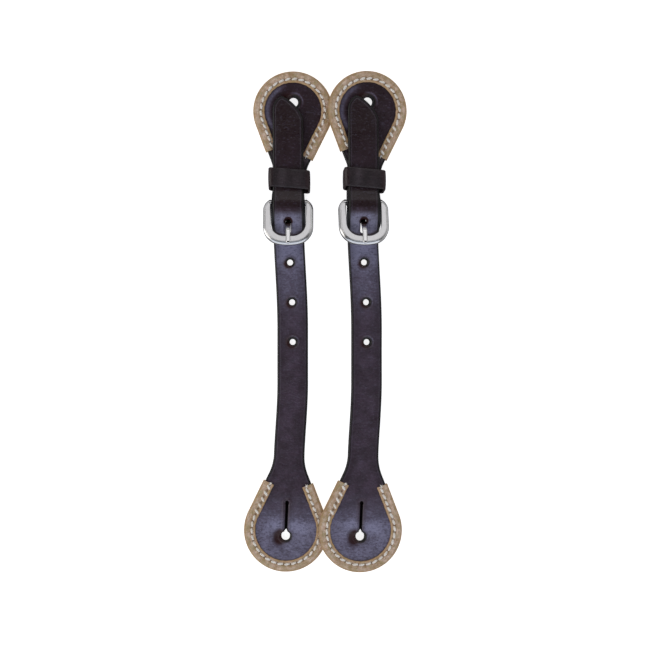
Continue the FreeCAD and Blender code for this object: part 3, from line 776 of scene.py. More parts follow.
def rounded_section(width, height, radius, steps=5):
    """Points round a rectangle with rounded corners, counterclockwise."""
    points = []
    for corner, (sx, sz) in enumerate(((1, -1), (1, 1), (-1, 1), (-1, -1))):
        centre = (sx * (width / 2.0 - radius), sz * (height / 2.0 - radius))
        first = -pi / 2.0 + corner * pi / 2.0
        for angle in np.linspace(first, first + pi / 2.0, steps):
            points.append((centre[0] + radius * cos(angle), centre[1] + radius * sin(angle)))
    return points


def fold_parts():
    """The two ears that go round the heel bar, and the tail they end in."""
    radius = FOLD_INNER + FOLD_THICK / 2.0
    turn = np.concatenate((np.zeros(2), np.linspace(0.0, pi, 22), np.full(8, pi)))
    normals = np.stack((-np.sin(turn), np.cos(turn)), -1)
    line = radius * normals + (0.0, HEEL_BAR_HEIGHT)
    line[:2, 0] = 1.6, 0.8
    line[-8:, 0] = np.linspace(1.0, CHAPE_SLOT_END + 1.0, 8)
    slot = CHAPE_SLOT_WIDTH / 2.0
    ears = [ribbon(line, normals, left, right)
            for left, right in ((-FOLD_HALF_WIDTH, -slot), (slot, FOLD_HALF_WIDTH))]
    tail_v = np.linspace(CHAPE_SLOT_END, TAIL_END, 12)
    tail = np.column_stack((tail_v, np.full(12, HEEL_BAR_HEIGHT - radius)))
    return ears + [ribbon(tail, np.tile((0.0, -1.0), (12, 1)), -FOLD_HALF_WIDTH, FOLD_HALF_WIDTH)]


def buckle_strap_mesh():
    points, faces, values = buckle_strap_plate()
    folds = joined(fold_parts())
    # The fold gets a little painted shade, as the rest of the buckle strap's face does
    plain = dict(edge=2.5, hole=20.0, bloom=-0.2, down=0.6, dish=0.0)
    whole = {key: np.concatenate((one, np.full(len(folds[0]), plain[key])))
             for key, one in leather_values(values).items()}
    return new_mesh("buckle_strap", *joined([(points, faces), folds]), 60.0, **whole)


# ---- Rawhide bindings and their stitches

def round_length(radius):
    return radius * (pi + 2.0 * FLANK_ANGLE)


def along_rim(end, radius, run):
    """Places, and outward directions, at distances along a line round a button end that
    starts at the right leg's end and goes round to the left's."""
    past = run - end["legs"][0]
    turned = np.clip(past, 0.0, round_length(radius))
    angle = FLANK_ANGLE - turned / radius
    normals = np.stack((np.cos(angle), np.sin(angle)), -1)
    onward = np.stack((normals[:, 1], -normals[:, 0]), -1)
    return radius * normals + (past - turned)[:, None] * onward, normals


def rim_stations(end, step):
    """Distances along the outer rim, about a step apart, with one at each leg's foot."""
    right, left = end["legs"]
    foot = right + round_length(end["radius"])
    return np.concatenate((np.linspace(0.0, right, int(right / step) + 1)[:-1],
                           np.linspace(right, foot, int((foot - right) / step)),
                           np.linspace(foot, foot + left, int(left / step) + 1)[1:]))


def seam_places(end):
    """Middle and heading of each stitch round a button end, in the end's own frame. On the
    left leg the stitches slant across the seam, as they do in the CAD."""
    radius = end["radius"] - STITCH_INSET
    foot = end["legs"][0] + round_length(radius)
    length = foot + end["legs"][1]
    count = int(length / STITCH_PITCH)
    margin = (length - (count - 1) * STITCH_PITCH) / 2.0
    run = margin + np.arange(count) * STITCH_PITCH
    places, normals = along_rim(end, radius, run)
    headings = np.arctan2(normals[:, 1], normals[:, 0]) - pi / 2.0
    return np.column_stack((places, headings + np.where(run > foot, 2.0 * FLANK_ANGLE, 0.0)))


def binding_section(height):
    """The binding's section as (distance in from the rim, height), all the way round:
    lip, stitch groove, pad and rolled rim, back face, and the side against the leather."""
    wall, band, roll, groove = BINDING_WALL, BINDING_BAND, BINDING_ROLL, STITCH_INSET
    seat = height - wall
    lip = ((0.05, -0.75), (-0.1, -0.35), (-0.4, -0.12), (-0.85, -0.03))
    seam = ((0.95, -0.08), (0.6, -0.26), (0.3, -0.44), (0.0, -0.5), (-0.3, -0.44), (-0.6, -0.24),
            (-1.0, -0.04), (-1.5, 0.03), (-2.0, 0.01), (-2.5, -0.06))
    points = [(band, seat - 0.05)]
    points += [(band + inset, height + rise) for inset, rise in lip]
    points += [(groove + inset, height + rise) for inset, rise in seam]
    for level, first in ((height - roll, pi / 2.0), (roll, pi)):
        points += [(roll + roll * cos(angle), level + roll * sin(angle))
                   for angle in np.linspace(first, first + pi / 2.0, 8)]
    back = ((-1.0, 0.0), (-0.4, 0.2), (0.0, 0.3), (0.4, 0.2), (1.0, 0.0))
    points += [(groove + inset, rise) for inset, rise in back]
    points += [(band - 0.3, 0.05), (band, 0.3), (band, wall), (wall + 2.0, wall),
               (wall, wall + 0.6), (wall, seat - 0.6), (wall + 2.0, seat - 0.05)]
    return np.array(points)


def binding_mesh(name, end, thick):
    height = thick + 2.0 * BINDING_WALL
    run = rim_stations(end, 0.4)
    places, normals = along_rim(end, end["radius"], run)
    inset, level = binding_section(height).T
    to_seam = (places - normals * STITCH_INSET)[:, None] - seam_places(end)[:, :2]
    to_stitch = np.hypot(to_seam[..., 0], to_seam[..., 1]).min(1)[:, None]
    between = smooth(to_stitch / (STITCH_PITCH / 2.0))
    hole = bell(to_stitch - VISIBLE_STITCH / 2.0, 0.4)
    wave, slow = (np.array([[noise.noise((s / size, end["radius"], phase))] for s in run])
                  for size, phase in ((3.1, 1.7), (11.0, 4.2)))
    lip = smooth((inset - STITCH_INSET) / 1.2)
    groove = bell(inset - STITCH_INSET, 0.9)
    crown = bell(inset - 2.9, 1.6) + 0.6 * lip
    rise = crown * (0.10 * wave + 0.12 * slow) * 0.7 - 0.12 * lip * (1.0 - between)
    rise -= groove * (0.32 * hole - 0.25 * between * (1.0 - hole))
    gap = inset + lip * (0.16 * wave + 0.10 * between)
    flat = end_point(end, places[:, None] - normals[:, None] * gap[..., None])
    points, faces = sweep(np.dstack((flat, level + rise * (level > height * 0.6))))
    return new_mesh(name, points, faces, 50.0, inset=np.tile(inset, len(run)),
                    pit=(groove * hole).ravel(), run=np.repeat(run, len(inset)))


def stitch(length, radius, dive, twist):
    """One two-ply stitch along +X, its ends diving into the work."""
    rings = []
    for share in np.linspace(-1.0, 1.0, 15):
        x = share * length / 2.0
        z = -dive * abs(share) ** 3.2
        swell = radius * (1.0 - 0.55 * max(0.0, abs(share) - 0.82) / 0.18)
        ring = []
        for angle in circle(14):
            lobe = swell * (1.0 + 0.17 * cos(2.0 * (angle - twist * share * pi)))
            ring.append((x, lobe * cos(angle) * 0.98, z + lobe * sin(angle)))
        rings.append(ring)
    return sweep(np.array(rings)[:, ::-1])


def moved(part, x, y, z, heading, flip=False):
    points, faces = part
    c, s = cos(heading), sin(heading)
    sign = -1.0 if flip else 1.0
    turned = np.column_stack((points[:, 0] * c - points[:, 1] * s + x,
                              points[:, 0] * s + points[:, 1] * c + y,
                              points[:, 2] * sign + z))
    return turned, [one[::-1] for one in faces] if flip else faces


def through(part, x, y, high, low, heading):
    """A stitch as it shows on the face and on the back."""
    return [moved(part, x, y, high, heading), moved(part, x, y, low, heading, flip=True)]


def thread_end(x, y, z, heading):
    """The few cut strands that are left where a seam ends."""
    strands = []
    for _ in range(5):
        one = stitch(random.uniform(1.1, 2.2), 0.24, 0.3, 0.8)
        turn = heading + random.uniform(-1.2, 1.2)
        strands.append(moved(one, x + random.uniform(-0.5, 0.5), y + random.uniform(-0.5, 0.5), z, turn))
    return strands


def stitching_mesh(name, end, thick, thread_ends):
    """The stitches round a button end, on its face and on its back, with the cut ends
    of the thread beside the stitches that thread_ends numbers."""
    height = thick + 2.0 * BINDING_WALL
    lean = radians(end["lean"])
    frame_turn = -lean if end["way"] > 0 else pi - lean
    places = seam_places(end)
    parts = []
    for x, y, heading in places:
        (u, v), = end_point(end, [(x, y)])
        slant = radians(random.uniform(7.0, 17.0))
        long = VISIBLE_STITCH * random.uniform(0.96, 1.06)
        radius = THREAD_RADIUS * random.uniform(1.3, 1.48)
        one = stitch(long, radius, 0.7, random.uniform(0.7, 1.0))
        turn = heading + frame_turn + slant
        high = height - 0.04 + random.uniform(-0.05, 0.05)
        parts += through(one, u, v, high, THREAD_RADIUS + 0.12, turn)
    for number in thread_ends:
        x, y, heading = places[number]
        (u, v), = end_point(end, [(x * 0.93, y + 2.6)])
        parts += thread_end(u, v, height - 0.1, heading + frame_turn)
    return new_mesh(name, *joined(parts), 60.0)


def chape_stitching_mesh():
    """Two short rows across the fold, on its face and its back."""
    under = HEEL_BAR_HEIGHT - FOLD_INNER
    low = under - FOLD_THICK + THREAD_RADIUS - 0.1
    high = under + BUCKLE_STRAP_THICK - THREAD_RADIUS + 0.1
    one = stitch(STITCH_LENGTH, THREAD_RADIUS, 0.6, 0.85)
    parts = []
    for row in CHAPE_ROWS:
        for place in (-1.5, -0.5, 0.5, 1.5):
            parts += through(one, BUCKLE_MIDDLE + place * STITCH_PITCH, row, high, low, 0.08)
    return new_mesh("chape_stitching", *joined(parts), 60.0)


# ---- Buckle

def frame_outline():
    """The frame's U: outer line round the front, then the opening back to the start."""
    corner_x = FRAME_HALF_WIDTH - FRAME_CORNER_RADIUS
    front_y = FRAME_FRONT + FRAME_FRONT_RADIUS
    reach = FRAME_FRONT_RADIUS - FRAME_CORNER_RADIUS
    corner_y = front_y - sqrt(reach ** 2 - corner_x ** 2)
    meet = asin(corner_x / reach)
    heel = (FRAME_HALF_WIDTH - FRAME_HEEL_RADIUS, FRAME_HEEL_TOP - FRAME_HEEL_RADIUS)
    rail_end = asin((FRAME_INNER_HALF_WIDTH - heel[0]) / FRAME_HEEL_RADIUS)
    half = FRAME_INNER_HALF_WIDTH
    inner = FRAME_INNER_CORNER
    low = FRAME_INNER_FRONT
    right = [arc(heel, FRAME_HEEL_RADIUS, pi / 2.0 - rail_end, 0.0),
             arc((corner_x, corner_y), FRAME_CORNER_RADIUS, 0.0, meet - pi / 2.0)]
    front = arc((0.0, front_y), FRAME_FRONT_RADIUS, meet - pi / 2.0, -meet - pi / 2.0)
    mirror = [part[::-1] * (-1.0, 1.0) for part in right[::-1]]
    opening = [arc((inner - half, low + inner), inner, -pi, -pi / 2.0),
               arc((half - inner, low + inner), inner, -pi / 2.0, 0.0)]
    return np.vstack(right + [front] + mirror), np.vstack(opening)


def leaned(points):
    """Points of a level buckle piece, leaned up about the heel bar and put in place."""
    x, y, z = points.T
    c, s = cos(FRAME_LEAN), sin(FRAME_LEAN)
    return np.column_stack((x + BUCKLE_MIDDLE, y * c + z * s, z * c - y * s + HEEL_BAR_HEIGHT))


def frame_mesh():
    outer, opening = frame_outline()
    outline = loop_of(np.vstack((outer, opening)), 0.3)
    half = FRAME_THICK / 2.0
    outer_line = resample(outer, 0.15, closed=False)
    outer_closed = np.vstack((outer_line, outer_line[::-1]))

    def measure(flat):
        return dict(rim=gap_to(flat, outer_closed), edge=gap_to(flat, outline))

    def shape(flat, near, down):
        bevel = FRAME_BEVEL_DROP * (1.0 - np.clip(near["rim"] / FRAME_BEVEL, 0.0, 1.0)) ** 0.85
        line = 0.2 * bell(near["rim"] - FRAME_BEVEL, 0.18)
        top = half - bevel - line - rounding(near["edge"], 0.4)
        bottom = -half + rounding(near["edge"], 0.5)
        return np.column_stack((flat, top + (bottom - top) * down))

    points, faces, values = plate([outline], METAL_RINGS, 0.8, measure, shape, (0.3, 0.6))
    bar_half = FRAME_INNER_HALF_WIDTH + BAR_OVERLAP
    rings = [[(x, HEEL_BAR_RADIUS * cos(a), HEEL_BAR_RADIUS * sin(a)) for a in circle(40)]
             for x in np.linspace(-bar_half, bar_half, 12)]
    bar = sweep(np.array(rings))
    all_points, all_faces = joined([(points, faces), bar])
    lip = np.concatenate((1.0 - smooth((values["rim"] - 1.2) / 0.5), np.full(len(bar[0]), 0.5)))
    return new_mesh("frame", leaned(all_points), all_faces, 35.0, lip=lip)


def tongue_height(s):
    """Height of the tongue's middle above the floor, s towards the front bar."""
    slope = tan(FRAME_LEAN)
    over = FRAME_THICK / 2.0 + TONGUE_LIFT_OFF + TONGUE_THICK / 2.0
    rise = HEEL_BAR_HEIGHT + over / cos(FRAME_LEAN) - TONGUE_START_HEIGHT
    first, last = TONGUE_STEP
    return TONGUE_START_HEIGHT + slope * s + rise * smooth((s - first) / (last - first))


def tongue_mesh():
    end = -TONGUE_TIP
    round_from = end - TONGUE_NOSE
    nose = round_from + TONGUE_NOSE * np.sin(np.linspace(0.1, pi / 2.0, 14))
    rings = []
    for s in np.concatenate((np.linspace(TONGUE_START, round_from, 64), nose)):
        height = float(tongue_height(s))
        slope = float(tongue_height(s + 0.01) - tongue_height(s - 0.01)) / 0.02
        length = sqrt(1.0 + slope * slope)
        taper = 1.0 - 0.1 * float(smooth((s - 14.0) / 9.5))
        close = sqrt(max(0.0004, 1.0 - max(0.0, (s - round_from) / TONGUE_NOSE) ** 2))
        half_width = TONGUE_WIDTH / 2.0 * taper * (0.12 + 0.88 * close)
        half = TONGUE_THICK / 2.0 * (0.2 + 0.8 * close)
        ring = []
        for angle in circle(36):
            x = half_width * np.sign(cos(angle)) * abs(cos(angle)) ** 0.72
            w = half * np.sign(sin(angle)) * abs(sin(angle)) ** 0.85
            ring.append((BUCKLE_MIDDLE + x, -s + w * slope / length, height + w / length))
        rings.append(ring)
    arm = sweep(np.array(rings)[:, ::-1])
    section = rounded_section(TONGUE_EYE_WIDTH, TONGUE_EYE_RADIUS - FOLD_INNER, 0.4)
    middle = (TONGUE_EYE_RADIUS + FOLD_INNER) / 2.0
    eye = sweep(np.array([[(BUCKLE_MIDDLE + x, (middle + w) * cos(a),
                            HEEL_BAR_HEIGHT + (middle + w) * sin(a)) for x, w in section]
                          for a in circle(48)]), closed=True)
    points, faces = joined([arm, eye])
    # The attribute is 1 where the tongue is under the leather and in its hole, where its look paints shade
    return new_mesh("tongue", points, faces, 40.0, sunk=smooth((points[:, 1] + 13.6) / 1.2))


# ---- Keeper

def keeper_path(step=0.4):
    """Line round the keeper's inner face in the u-z plane, and the outward direction."""
    left = KEEPER_MIDDLE - KEEPER_INNER_HALF_WIDTH
    right = KEEPER_MIDDLE + KEEPER_INNER_HALF_WIDTH
    low, high = KEEPER_THICK, KEEPER_INNER_TOP
    radius = KEEPER_CORNER
    corners = [((right - radius, low + radius), -pi / 2.0), ((right - radius, high - radius), 0.0),
               ((left + radius, high - radius), pi / 2.0), ((left + radius, low + radius), pi)]
    line = np.vstack([arc(centre, radius, first, first + pi / 2.0) for centre, first in corners])
    line = resample(line, step)
    heading = np.roll(line, -1, axis=0) - np.roll(line, 1, axis=0)
    heading /= np.hypot(*heading.T)[:, None]
    return line, np.stack((heading[:, 1], -heading[:, 0]), -1)


def keeper_mesh():
    line, outward = keeper_path()
    first, last = KEEPER_FRONT
    half = (last - first) / 2.0
    height = KEEPER_INNER_TOP + KEEPER_THICK
    section = np.array(rounded_section(last - first, KEEPER_THICK, 0.5, 6))
    dense = []
    for here, there in zip(section, np.roll(section, -1, axis=0)):
        steps = max(1, int(abs(there[0] - here[0]) / 0.8))
        dense += [here + (there - here) * i / steps for i in range(steps)]
    along, out = np.array(dense)[::-1].T
    across, up = outward[:, :1], outward[:, 1:]
    swell = (1.0 - (along / half) ** 2) * (0.35 * np.maximum(up, 0.0) + 0.2 * np.abs(across))
    away = out + KEEPER_THICK / 2.0 + swell * (out > 0.0)
    u = line[:, :1] + across * away
    z = line[:, 1:] + up * away
    v = (first + last) / 2.0 + along - KEEPER_LEAN * (height - z) / height - KEEPER_SKEW * u
    points, faces = sweep(np.dstack((u, v, z)), closed=True)
    aside = points[:, 0] - KEEPER_MIDDLE
    zeros = np.zeros(len(points))
    # Painted highlights on the keeper's face, a soft one left of the middle and a faint one right of it, and
    # painted shade on both sides
    return new_mesh("keeper", points, faces, 60.0, hole=zeros + 20.0, down=zeros,
                    edge=np.tile(half - np.abs(along) + 2.4, len(line)),
                    bloom=0.4 * bell(aside + 4.5, 2.6) + 0.15 * bell(aside - 5.0, 3.0),
                    dish=0.22 * smooth((np.abs(aside) - 8.5) / 3.0))


def staples_mesh():
    """Two flat wires at the keeper's back, their ends turned into the leather."""
    middle = (KEEPER_FRONT[0] + KEEPER_FRONT[1]) / 2.0 - KEEPER_LEAN
    parts = []
    for side in (-1, 1):
        rings = []
        for share in np.linspace(-1.0, 1.0, 21):
            x = KEEPER_MIDDLE + share * STAPLE_LENGTH / 2.0
            lift = STAPLE_WIRE_RADIUS + 0.05 + 0.5 * max(0.0, abs(share) - 0.85) / 0.15
            rings.append([(x, middle + side * STAPLE_ASIDE + STAPLE_WIRE_RADIUS * cos(a),
                           lift + STAPLE_WIRE_RADIUS * 0.8 * sin(a)) for a in circle(12)])
        parts.append(sweep(np.array(rings)))
    return new_mesh("staples", *joined(parts), 60.0)


# ---- Materials

def srgb(*levels):
    """A colour given as it looks on screen, 0 to 255, as the linear colour nodes use."""
    shares = [level / 255.0 for level in levels]
    return (*[c / 12.92 if c <= 0.04 else ((c + 0.055) / 1.055) ** 2.4 for c in shares], 1.0)


def dimmed(colour, share):
    return (*[c * share for c in colour[:3]], 1.0)


def add_node(tree, kind, inputs, output=0, **settings):
    """Adds a node with its inputs set or linked, and gives one of its outputs."""
    made = tree.nodes.new(kind)
    for key, value in settings.items():
        setattr(made, key, value)
    for key, value in inputs.items():
        if isinstance(value, bpy.types.NodeSocket):
            tree.links.new(value, made.inputs[key])
        else:
            made.inputs[key].default_value = value
    return made.outputs[output]


class Look:
    """A material, its colour so far, and short ways to add to it. Sizes are in millimetres."""

    def __init__(self, name, colour):
        self.material = bpy.data.materials.new(name)
        self.material.use_nodes = True
        self.tree = self.material.node_tree
        self.shader = self.tree.nodes["Principled BSDF"]
        self.colour = colour
        place = self.node("ShaderNodeTexCoord", {}, "Object")
        self.mm = self.node("ShaderNodeVectorMath", {0: place, "Scale": 1000.0}, operation="SCALE")

    def node(self, *what, **settings):
        return add_node(self.tree, *what, **settings)

    def stretched(self, x, y, z):
        return self.node("ShaderNodeVectorMath", {0: self.mm, 1: (x, y, z)}, operation="MULTIPLY")

    def noise(self, size, detail=3.0, rough=0.5, vector=None):
        inputs = {"Vector": vector or self.mm, "Scale": 1.0 / size, "Detail": detail, "Roughness": rough}
        return self.node("ShaderNodeTexNoise", inputs)

    def cells(self, size, feature):
        return self.node("ShaderNodeTexVoronoi", {"Vector": self.mm, "Scale": 1.0 / size}, feature=feature)

    def value(self, name):
        return self.node("ShaderNodeAttribute", {}, "Fac", attribute_name=name)

    def span(self, value, low, high, to_low=0.0, to_high=1.0):
        """The value with low to high taken to 0 to 1, or to the given range, and held there."""
        return self.node("ShaderNodeMapRange", {0: value, 1: low, 2: high, 3: to_low, 4: to_high})

    def maths(self, operation, a, b=0.0):
        return self.node("ShaderNodeMath", {0: a, 1: b}, operation=operation)

    def away(self, value, middle):
        return self.maths("ABSOLUTE", self.maths("SUBTRACT", value, middle))

    def lay(self, share, over):
        """Lays a colour over the colour so far."""
        inputs = {0: share, 6: self.colour, 7: over}
        self.colour = self.node("ShaderNodeMix", inputs, 2, data_type="RGBA")

    def paint(self, value, low, high, share, over):
        """Lays a colour over, from none where the value is low to a share where it is high."""
        self.lay(self.span(value, low, high, 0.0, share), over)

    def relief(self, *layers):
        """Bumps laid over one another, each a (height, depth, strength)."""
        normal = None
        for height, depth, strength in layers:
            inputs = {"Height": height, "Distance": depth / 1000.0, "Strength": strength}
            if normal:
                inputs["Normal"] = normal
            normal = self.node("ShaderNodeBump", inputs)
        return normal

    def finish(self, roughness, normal, **constants):
        sockets = {"Base Color": self.colour, "Roughness": roughness, "Normal": normal}
        for key, value in sockets.items():
            self.tree.links.new(value, self.shader.inputs[key])
        for key, value in constants.items():
            self.shader.inputs[key.replace("_", " ")].default_value = value
        return self.material


def leather_look(name, deep, lifted, sheen_tint, brown):
    look = Look(name, deep)
    dark = dimmed(deep, 0.45)
    look.paint(look.noise(8.0, 4.0, 0.55), 0.36, 0.62, 1.0, lifted)
    look.paint(look.noise(1.5, 5.0, 0.7), 0.4, 0.66, 0.55, dark)
    # Painted sheen: a bluish reflection laid over the face where the attribute is above 0, broken up by noise
    bloom = look.value("bloom")
    broad = look.span(look.noise(6.5, 2.0, 0.5), 0.36, 0.64, 0.7, 1.12)
    close = look.span(look.noise(1.3, 5.0, 0.7), 0.34, 0.66, 0.62, 1.3)
    painted_sheen = look.maths("MULTIPLY", look.maths("MULTIPLY", bloom, broad), close)
    look.paint(painted_sheen, 0.0, 1.0, 1.0, sheen_tint)
    # Painted shade: near black red where the attribute is below 0
    look.paint(bloom, 0.0, -0.3, 0.9, srgb(32, 10, 13))
    # Painted light in the wrinkles: shade in their troughs and a highlight on their crests, where there is
    # painted sheen
    wrinkles = look.noise(1.0, 4.0, 0.62, look.stretched(0.48, 0.95, 0.6))
    sheen_share = look.span(bloom, 0.1, 0.6, 0.25, 1.0)
    look.lay(look.maths("MULTIPLY", look.span(wrinkles, 0.53, 0.62, 0.0, 0.42), sheen_share), dark)
    look.lay(look.maths("MULTIPLY", look.span(wrinkles, 0.44, 0.36, 0.0, 0.4), sheen_share), sheen_tint)
    hole = look.value("hole")
    look.paint(hole, 3.6, 1.2, 0.5, brown)
    # Painted shade: a near black ring in the rounded mouth of each hole
    look.paint(hole, 1.35, 0.85, 0.96, srgb(8, 5, 5))
    edge = look.value("edge")
    # Painted shade: the face darker towards its edges, as a crowned strap turns from the light
    look.paint(edge, 6.5, 1.5, 0.4, dark)
    # Painted highlight: a pale line along the crease
    look.paint(look.away(edge, CREASE_INSET + 0.15), 0.4, 0.1, 0.2, srgb(104, 98, 112))
    look.paint(edge, 1.45, 0.9, 0.97, srgb(7, 5, 6))
    down = look.value("down")
    look.paint(down, 0.05, 0.3, 1.0, srgb(12, 7, 7))
    # Painted shade: dark brown in the button's hollow, at the tongue hole's top, on each hole's lower left
    # and on the keeper's sides
    look.paint(look.value("dish"), 0.08, 0.5, 0.95, brown)
    grain = look.span(look.cells(1.5, "DISTANCE_TO_EDGE"), 0.0, 0.12)
    pores = look.noise(0.6, 3.0, 0.6)
    folds = look.noise(1.0, 3.0, 0.6, look.stretched(0.12, 0.36, 0.3))
    normal = look.relief((grain, 0.035, 0.5), (pores, 0.03, 0.6), (folds, 0.4, 0.6), (wrinkles, 0.4, 0.6))
    rough = look.span(look.noise(3.0, 4.0, 0.6), 0.3, 0.7, 0.26, 0.4)
    rough = look.maths("ADD", rough, look.span(down, 0.6, 1.0, 0.0, 0.35))
    return look.finish(rough, normal, Specular_IOR_Level=0.42, Coat_Weight=0.05, Coat_Roughness=0.2)


def rawhide_look():
    look = Look("rawhide", srgb(178, 146, 106))
    inset = look.value("inset")
    along = look.node("ShaderNodeCombineXYZ", {0: look.maths("MULTIPLY", look.value("run"), 0.22),
                                               1: look.maths("MULTIPLY", inset, 1.1)})
    streak = look.noise(1.0, 5.0, 0.68, along)
    look.paint(look.noise(3.0, 5.0, 0.65), 0.36, 0.64, 1.0, srgb(234, 207, 186))
    look.paint(look.noise(4.6, 4.0, 0.6), 0.48, 0.62, 0.7, srgb(176, 158, 112))
    look.paint(streak, 0.5, 0.7, 0.6, srgb(160, 122, 86))
    look.paint(streak, 0.45, 0.28, 0.5, srgb(240, 224, 208))
    look.paint(look.noise(0.8, 4.0, 0.65), 0.58, 0.68, 0.6, srgb(140, 106, 76))
    look.paint(inset, 1.9, 0.5, 0.75, srgb(164, 132, 88))
    look.paint(inset, 5.9, 6.4, 0.6, srgb(196, 156, 104))
    # Painted shadow: a dark band at the binding's inner edge, against the leather
    look.paint(inset, 7.0, 7.3, 0.85, srgb(84, 60, 42))
    # Painted shade in the stitch groove and in the stitch holes
    look.paint(look.away(inset, STITCH_INSET), 0.8, 0.3, 0.4, srgb(168, 134, 98))
    look.paint(look.value("pit"), 0.0, 1.0, 0.8, srgb(120, 88, 60))
    fibre = look.noise(1.0, 5.0, 0.7, look.stretched(1.3, 1.3, 3.0))
    normal = look.relief((fibre, 0.28, 0.6), (look.cells(0.9, "SMOOTH_F1"), 0.12, 0.4), (streak, 0.25, 0.5))
    rough = look.span(look.noise(2.4, 4.0), 0.3, 0.7, 0.36, 0.55)
    return look.finish(rough, normal, Coat_Weight=0.1, Coat_Roughness=0.25,
                       Subsurface_Weight=0.06, Subsurface_Scale=0.001)


def thread_look():
    look = Look("waxed_thread", srgb(255, 253, 248))
    inputs = {"Vector": look.mm, "Scale": 1.1, "Distortion": 1.6, "Detail": 2.0}
    strand = look.node("ShaderNodeTexWave", inputs)
    look.paint(look.noise(0.6, 3.0), 0.3, 0.7, 1.0, srgb(246, 236, 222))
    look.paint(look.noise(9.0, 3.0), 0.5, 0.68, 0.3, srgb(218, 200, 172))
    normal = look.relief((strand, 0.07, 0.5), (look.noise(0.18, 3.0), 0.04, 0.6))
    return look.finish(look.span(look.noise(0.6), 0.3, 0.7, 0.5, 0.66), normal, Sheen_Weight=0.15)


def metal_look(name, tone, low_rough, high_rough, relief):
    """Plated metal. Where there is a lip attribute it marks what is polished, and a second
    attribute marks what is painted dark as shade, down in a hole."""
    look = Look(name, tone)
    look.paint(look.noise(2.5, 4.0), 0.3, 0.7, 1.0, dimmed(tone, 0.95))
    # Painted shade on the tongue where it goes under the leather and down its hole
    look.paint(look.value("sunk"), 0.0, 1.0, 0.92, srgb(24, 16, 15))
    brushed = look.noise(0.5, 4.0, 0.6, look.stretched(1.0, 0.3, 1.0))
    normal = look.relief((brushed, relief * 0.25, 0.5), (look.noise(2.6, 3.0), relief, 0.6))
    rough = look.span(look.noise(1.2, 4.0, 0.6), 0.3, 0.7, low_rough, high_rough)
    rough = look.maths("MULTIPLY", rough, look.span(look.value("lip"), 0.0, 1.0, 1.0, 0.6))
    return look.finish(rough, normal, Metallic=1.0)


def floor_look():
    """A pale sweep that is lit from below a little, as on a light table."""
    look = Look("pale_floor", (0.86, 0.86, 0.865, 1.0))
    look.paint(look.noise(900.0, 2.0), 0.3, 0.7, 1.0, (0.88, 0.88, 0.885, 1.0))
    look.tree.links.new(look.colour, look.shader.inputs["Emission Color"])
    normal = look.relief((look.noise(5.0), 0.001, 0.1))
    rough = look.span(look.noise(400.0), 0.0, 1.0, 0.9, 0.95)
    return look.finish(rough, normal, Emission_Strength=0.95)


# ---- Camera, floor and light

def make_camera():
    data = bpy.data.cameras.new("camera")
    data.sensor_width = SENSOR
    data.lens = SENSOR * CAMERA_HEIGHT / PICTURE_SPAN
    data.clip_start = 0.01
    camera = put("camera", data)
    camera.location = (*PICTURE_MIDDLE, CAMERA_HEIGHT)
    bpy.context.scene.camera = camera


def make_floor():
    points = 4.0 * np.array([(-1.0, -1.0, 0.0), (1.0, -1.0, 0.0), (1.0, 1.0, 0.0), (-1.0, 1.0, 0.0)])
    mesh = new_mesh("floor", points, [(0, 1, 2, 3)])
    mesh.materials.append(floor_look())
    floor = put("floor", mesh)
    floor.location.z = -0.0002
    floor.visible_glossy = False


def softbox(name, place, size, power, colour):
    """A rectangular light that faces the middle of the floor."""
    data = bpy.data.lights.new(name, "AREA")
    data.shape = "RECTANGLE"
    data.size, data.size_y = size
    data.energy = power
    data.color = colour
    light = put(name, data)
    light.location = place
    light.rotation_euler = (-Vector(place)).to_track_quat("-Z", "Y").to_euler()


def make_world(overhead, around, below):
    """An even room, darker overhead than round about, and darker still below."""
    world = bpy.data.worlds.new("room")
    world.use_nodes = True
    tree = world.node_tree
    place = add_node(tree, "ShaderNodeTexCoord", {}, "Generated")
    up = add_node(tree, "ShaderNodeSeparateXYZ", {0: place}, "Z")
    high = add_node(tree, "ShaderNodeMapRange", {0: up, 1: 0.25, 2: 0.85, 3: around, 4: overhead})
    low = add_node(tree, "ShaderNodeMapRange", {0: up, 1: -0.3, 2: 0.1, 3: below})
    background = tree.nodes["Background"]
    shade = add_node(tree, "ShaderNodeMath", {0: high, 1: low}, operation="MULTIPLY")
    tree.links.new(shade, background.inputs["Strength"])
    background.inputs["Color"].default_value = (1.0, 1.0, 1.02, 1.0)
    bpy.context.scene.world = world


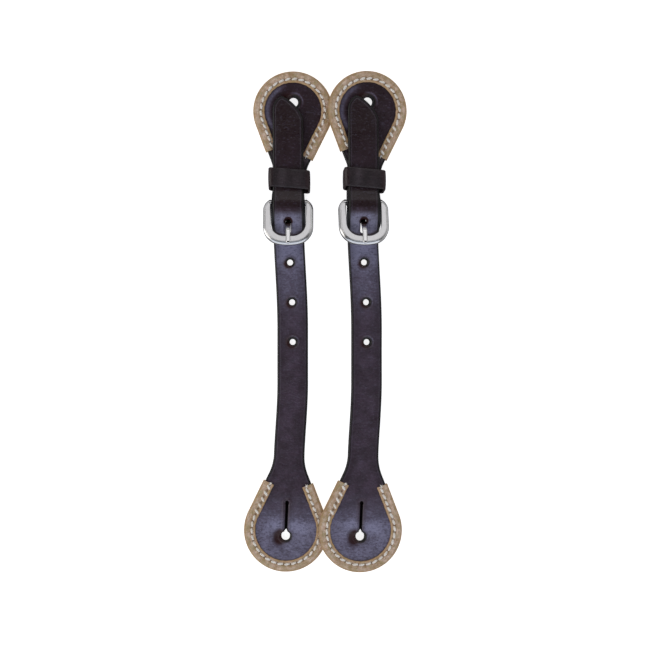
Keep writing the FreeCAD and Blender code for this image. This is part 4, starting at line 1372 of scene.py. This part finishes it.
def make_stage():
    make_floor()
    make_world(0.03, 0.55, 0.25)
    softbox("window_front", (0.0, -1.0, 1.1), (3.0, 1.5), 12.5, (0.82, 0.88, 1.0))
    softbox("softbox_back", (0.1, 1.1, 1.2), (2.2, 0.9), 5.0, (0.98, 0.97, 1.0))
    softbox("softbox_left", (-1.5, 0.1, 0.9), (0.9, 1.6), 7.0, (1.0, 0.97, 0.93))
    bpy.context.scene.view_settings.view_transform = "Standard"


# ---- The object

def make_straps():
    brown = srgb(46, 13, 15)
    leather = leather_look("dark_leather", srgb(56, 40, 49), srgb(77, 60, 75), srgb(142, 140, 168), brown)
    # The keeper's leather is the straps' leather painted darker and with less sheen, as painted shade
    shaded_keeper_leather = leather_look("keeper_leather", srgb(42, 34, 37), srgb(54, 43, 47), srgb(90, 80, 86), brown)
    rawhide = rawhide_look()
    thread = thread_look()
    nickel = metal_look("satin_nickel", (0.76, 0.755, 0.75, 1.0), 0.27, 0.31, 0.004)
    polished = metal_look("polished_nickel", (0.84, 0.835, 0.83, 1.0), 0.1, 0.15, 0.005)
    lower = binding_mesh("lower", LOWER_END, BILLET_THICK)
    upper = binding_mesh("upper", UPPER_END, BUCKLE_STRAP_THICK)
    lower_seam = stitching_mesh("lower", LOWER_END, BILLET_THICK, (0, -1))
    upper_seam = stitching_mesh("upper", UPPER_END, BUCKLE_STRAP_THICK, (-1,))
    rows = (
        ("billet", billet_mesh(), "billet_end", "dark_leather", leather, "billet_strap"),
        ("chape", buckle_strap_mesh(), "buckle_end", "dark_leather", leather, "buckle_strap"),
        ("lower_rawhide", lower, "billet_end", "rawhide", rawhide, "lower_binding"),
        ("upper_rawhide", upper, "buckle_end", "rawhide", rawhide, "upper_binding"),
        ("lower_stitches", lower_seam, "billet_end", "thread", thread, "lower_binding_stitching"),
        ("upper_stitches", upper_seam, "buckle_end", "thread", thread, "upper_binding_stitching"),
        ("chape_stitches", chape_stitching_mesh(), "buckle_end", "thread", thread, "chape_stitching"),
        ("buckle", frame_mesh(), "frame", "nickel", nickel, "buckle_frame"),
        ("buckle_pin", tongue_mesh(), "tongue", "polished_nickel", polished, "buckle_tongue"),
        ("keeper", keeper_mesh(), "keeper", "keeper_leather", shaded_keeper_leather, "keeper_loop"),
        ("staples", staples_mesh(), "keeper", "nickel", nickel, "keeper_staples"),
    )
    for row in rows:
        place_pair(*row)


make_camera()
make_stage()
make_straps()
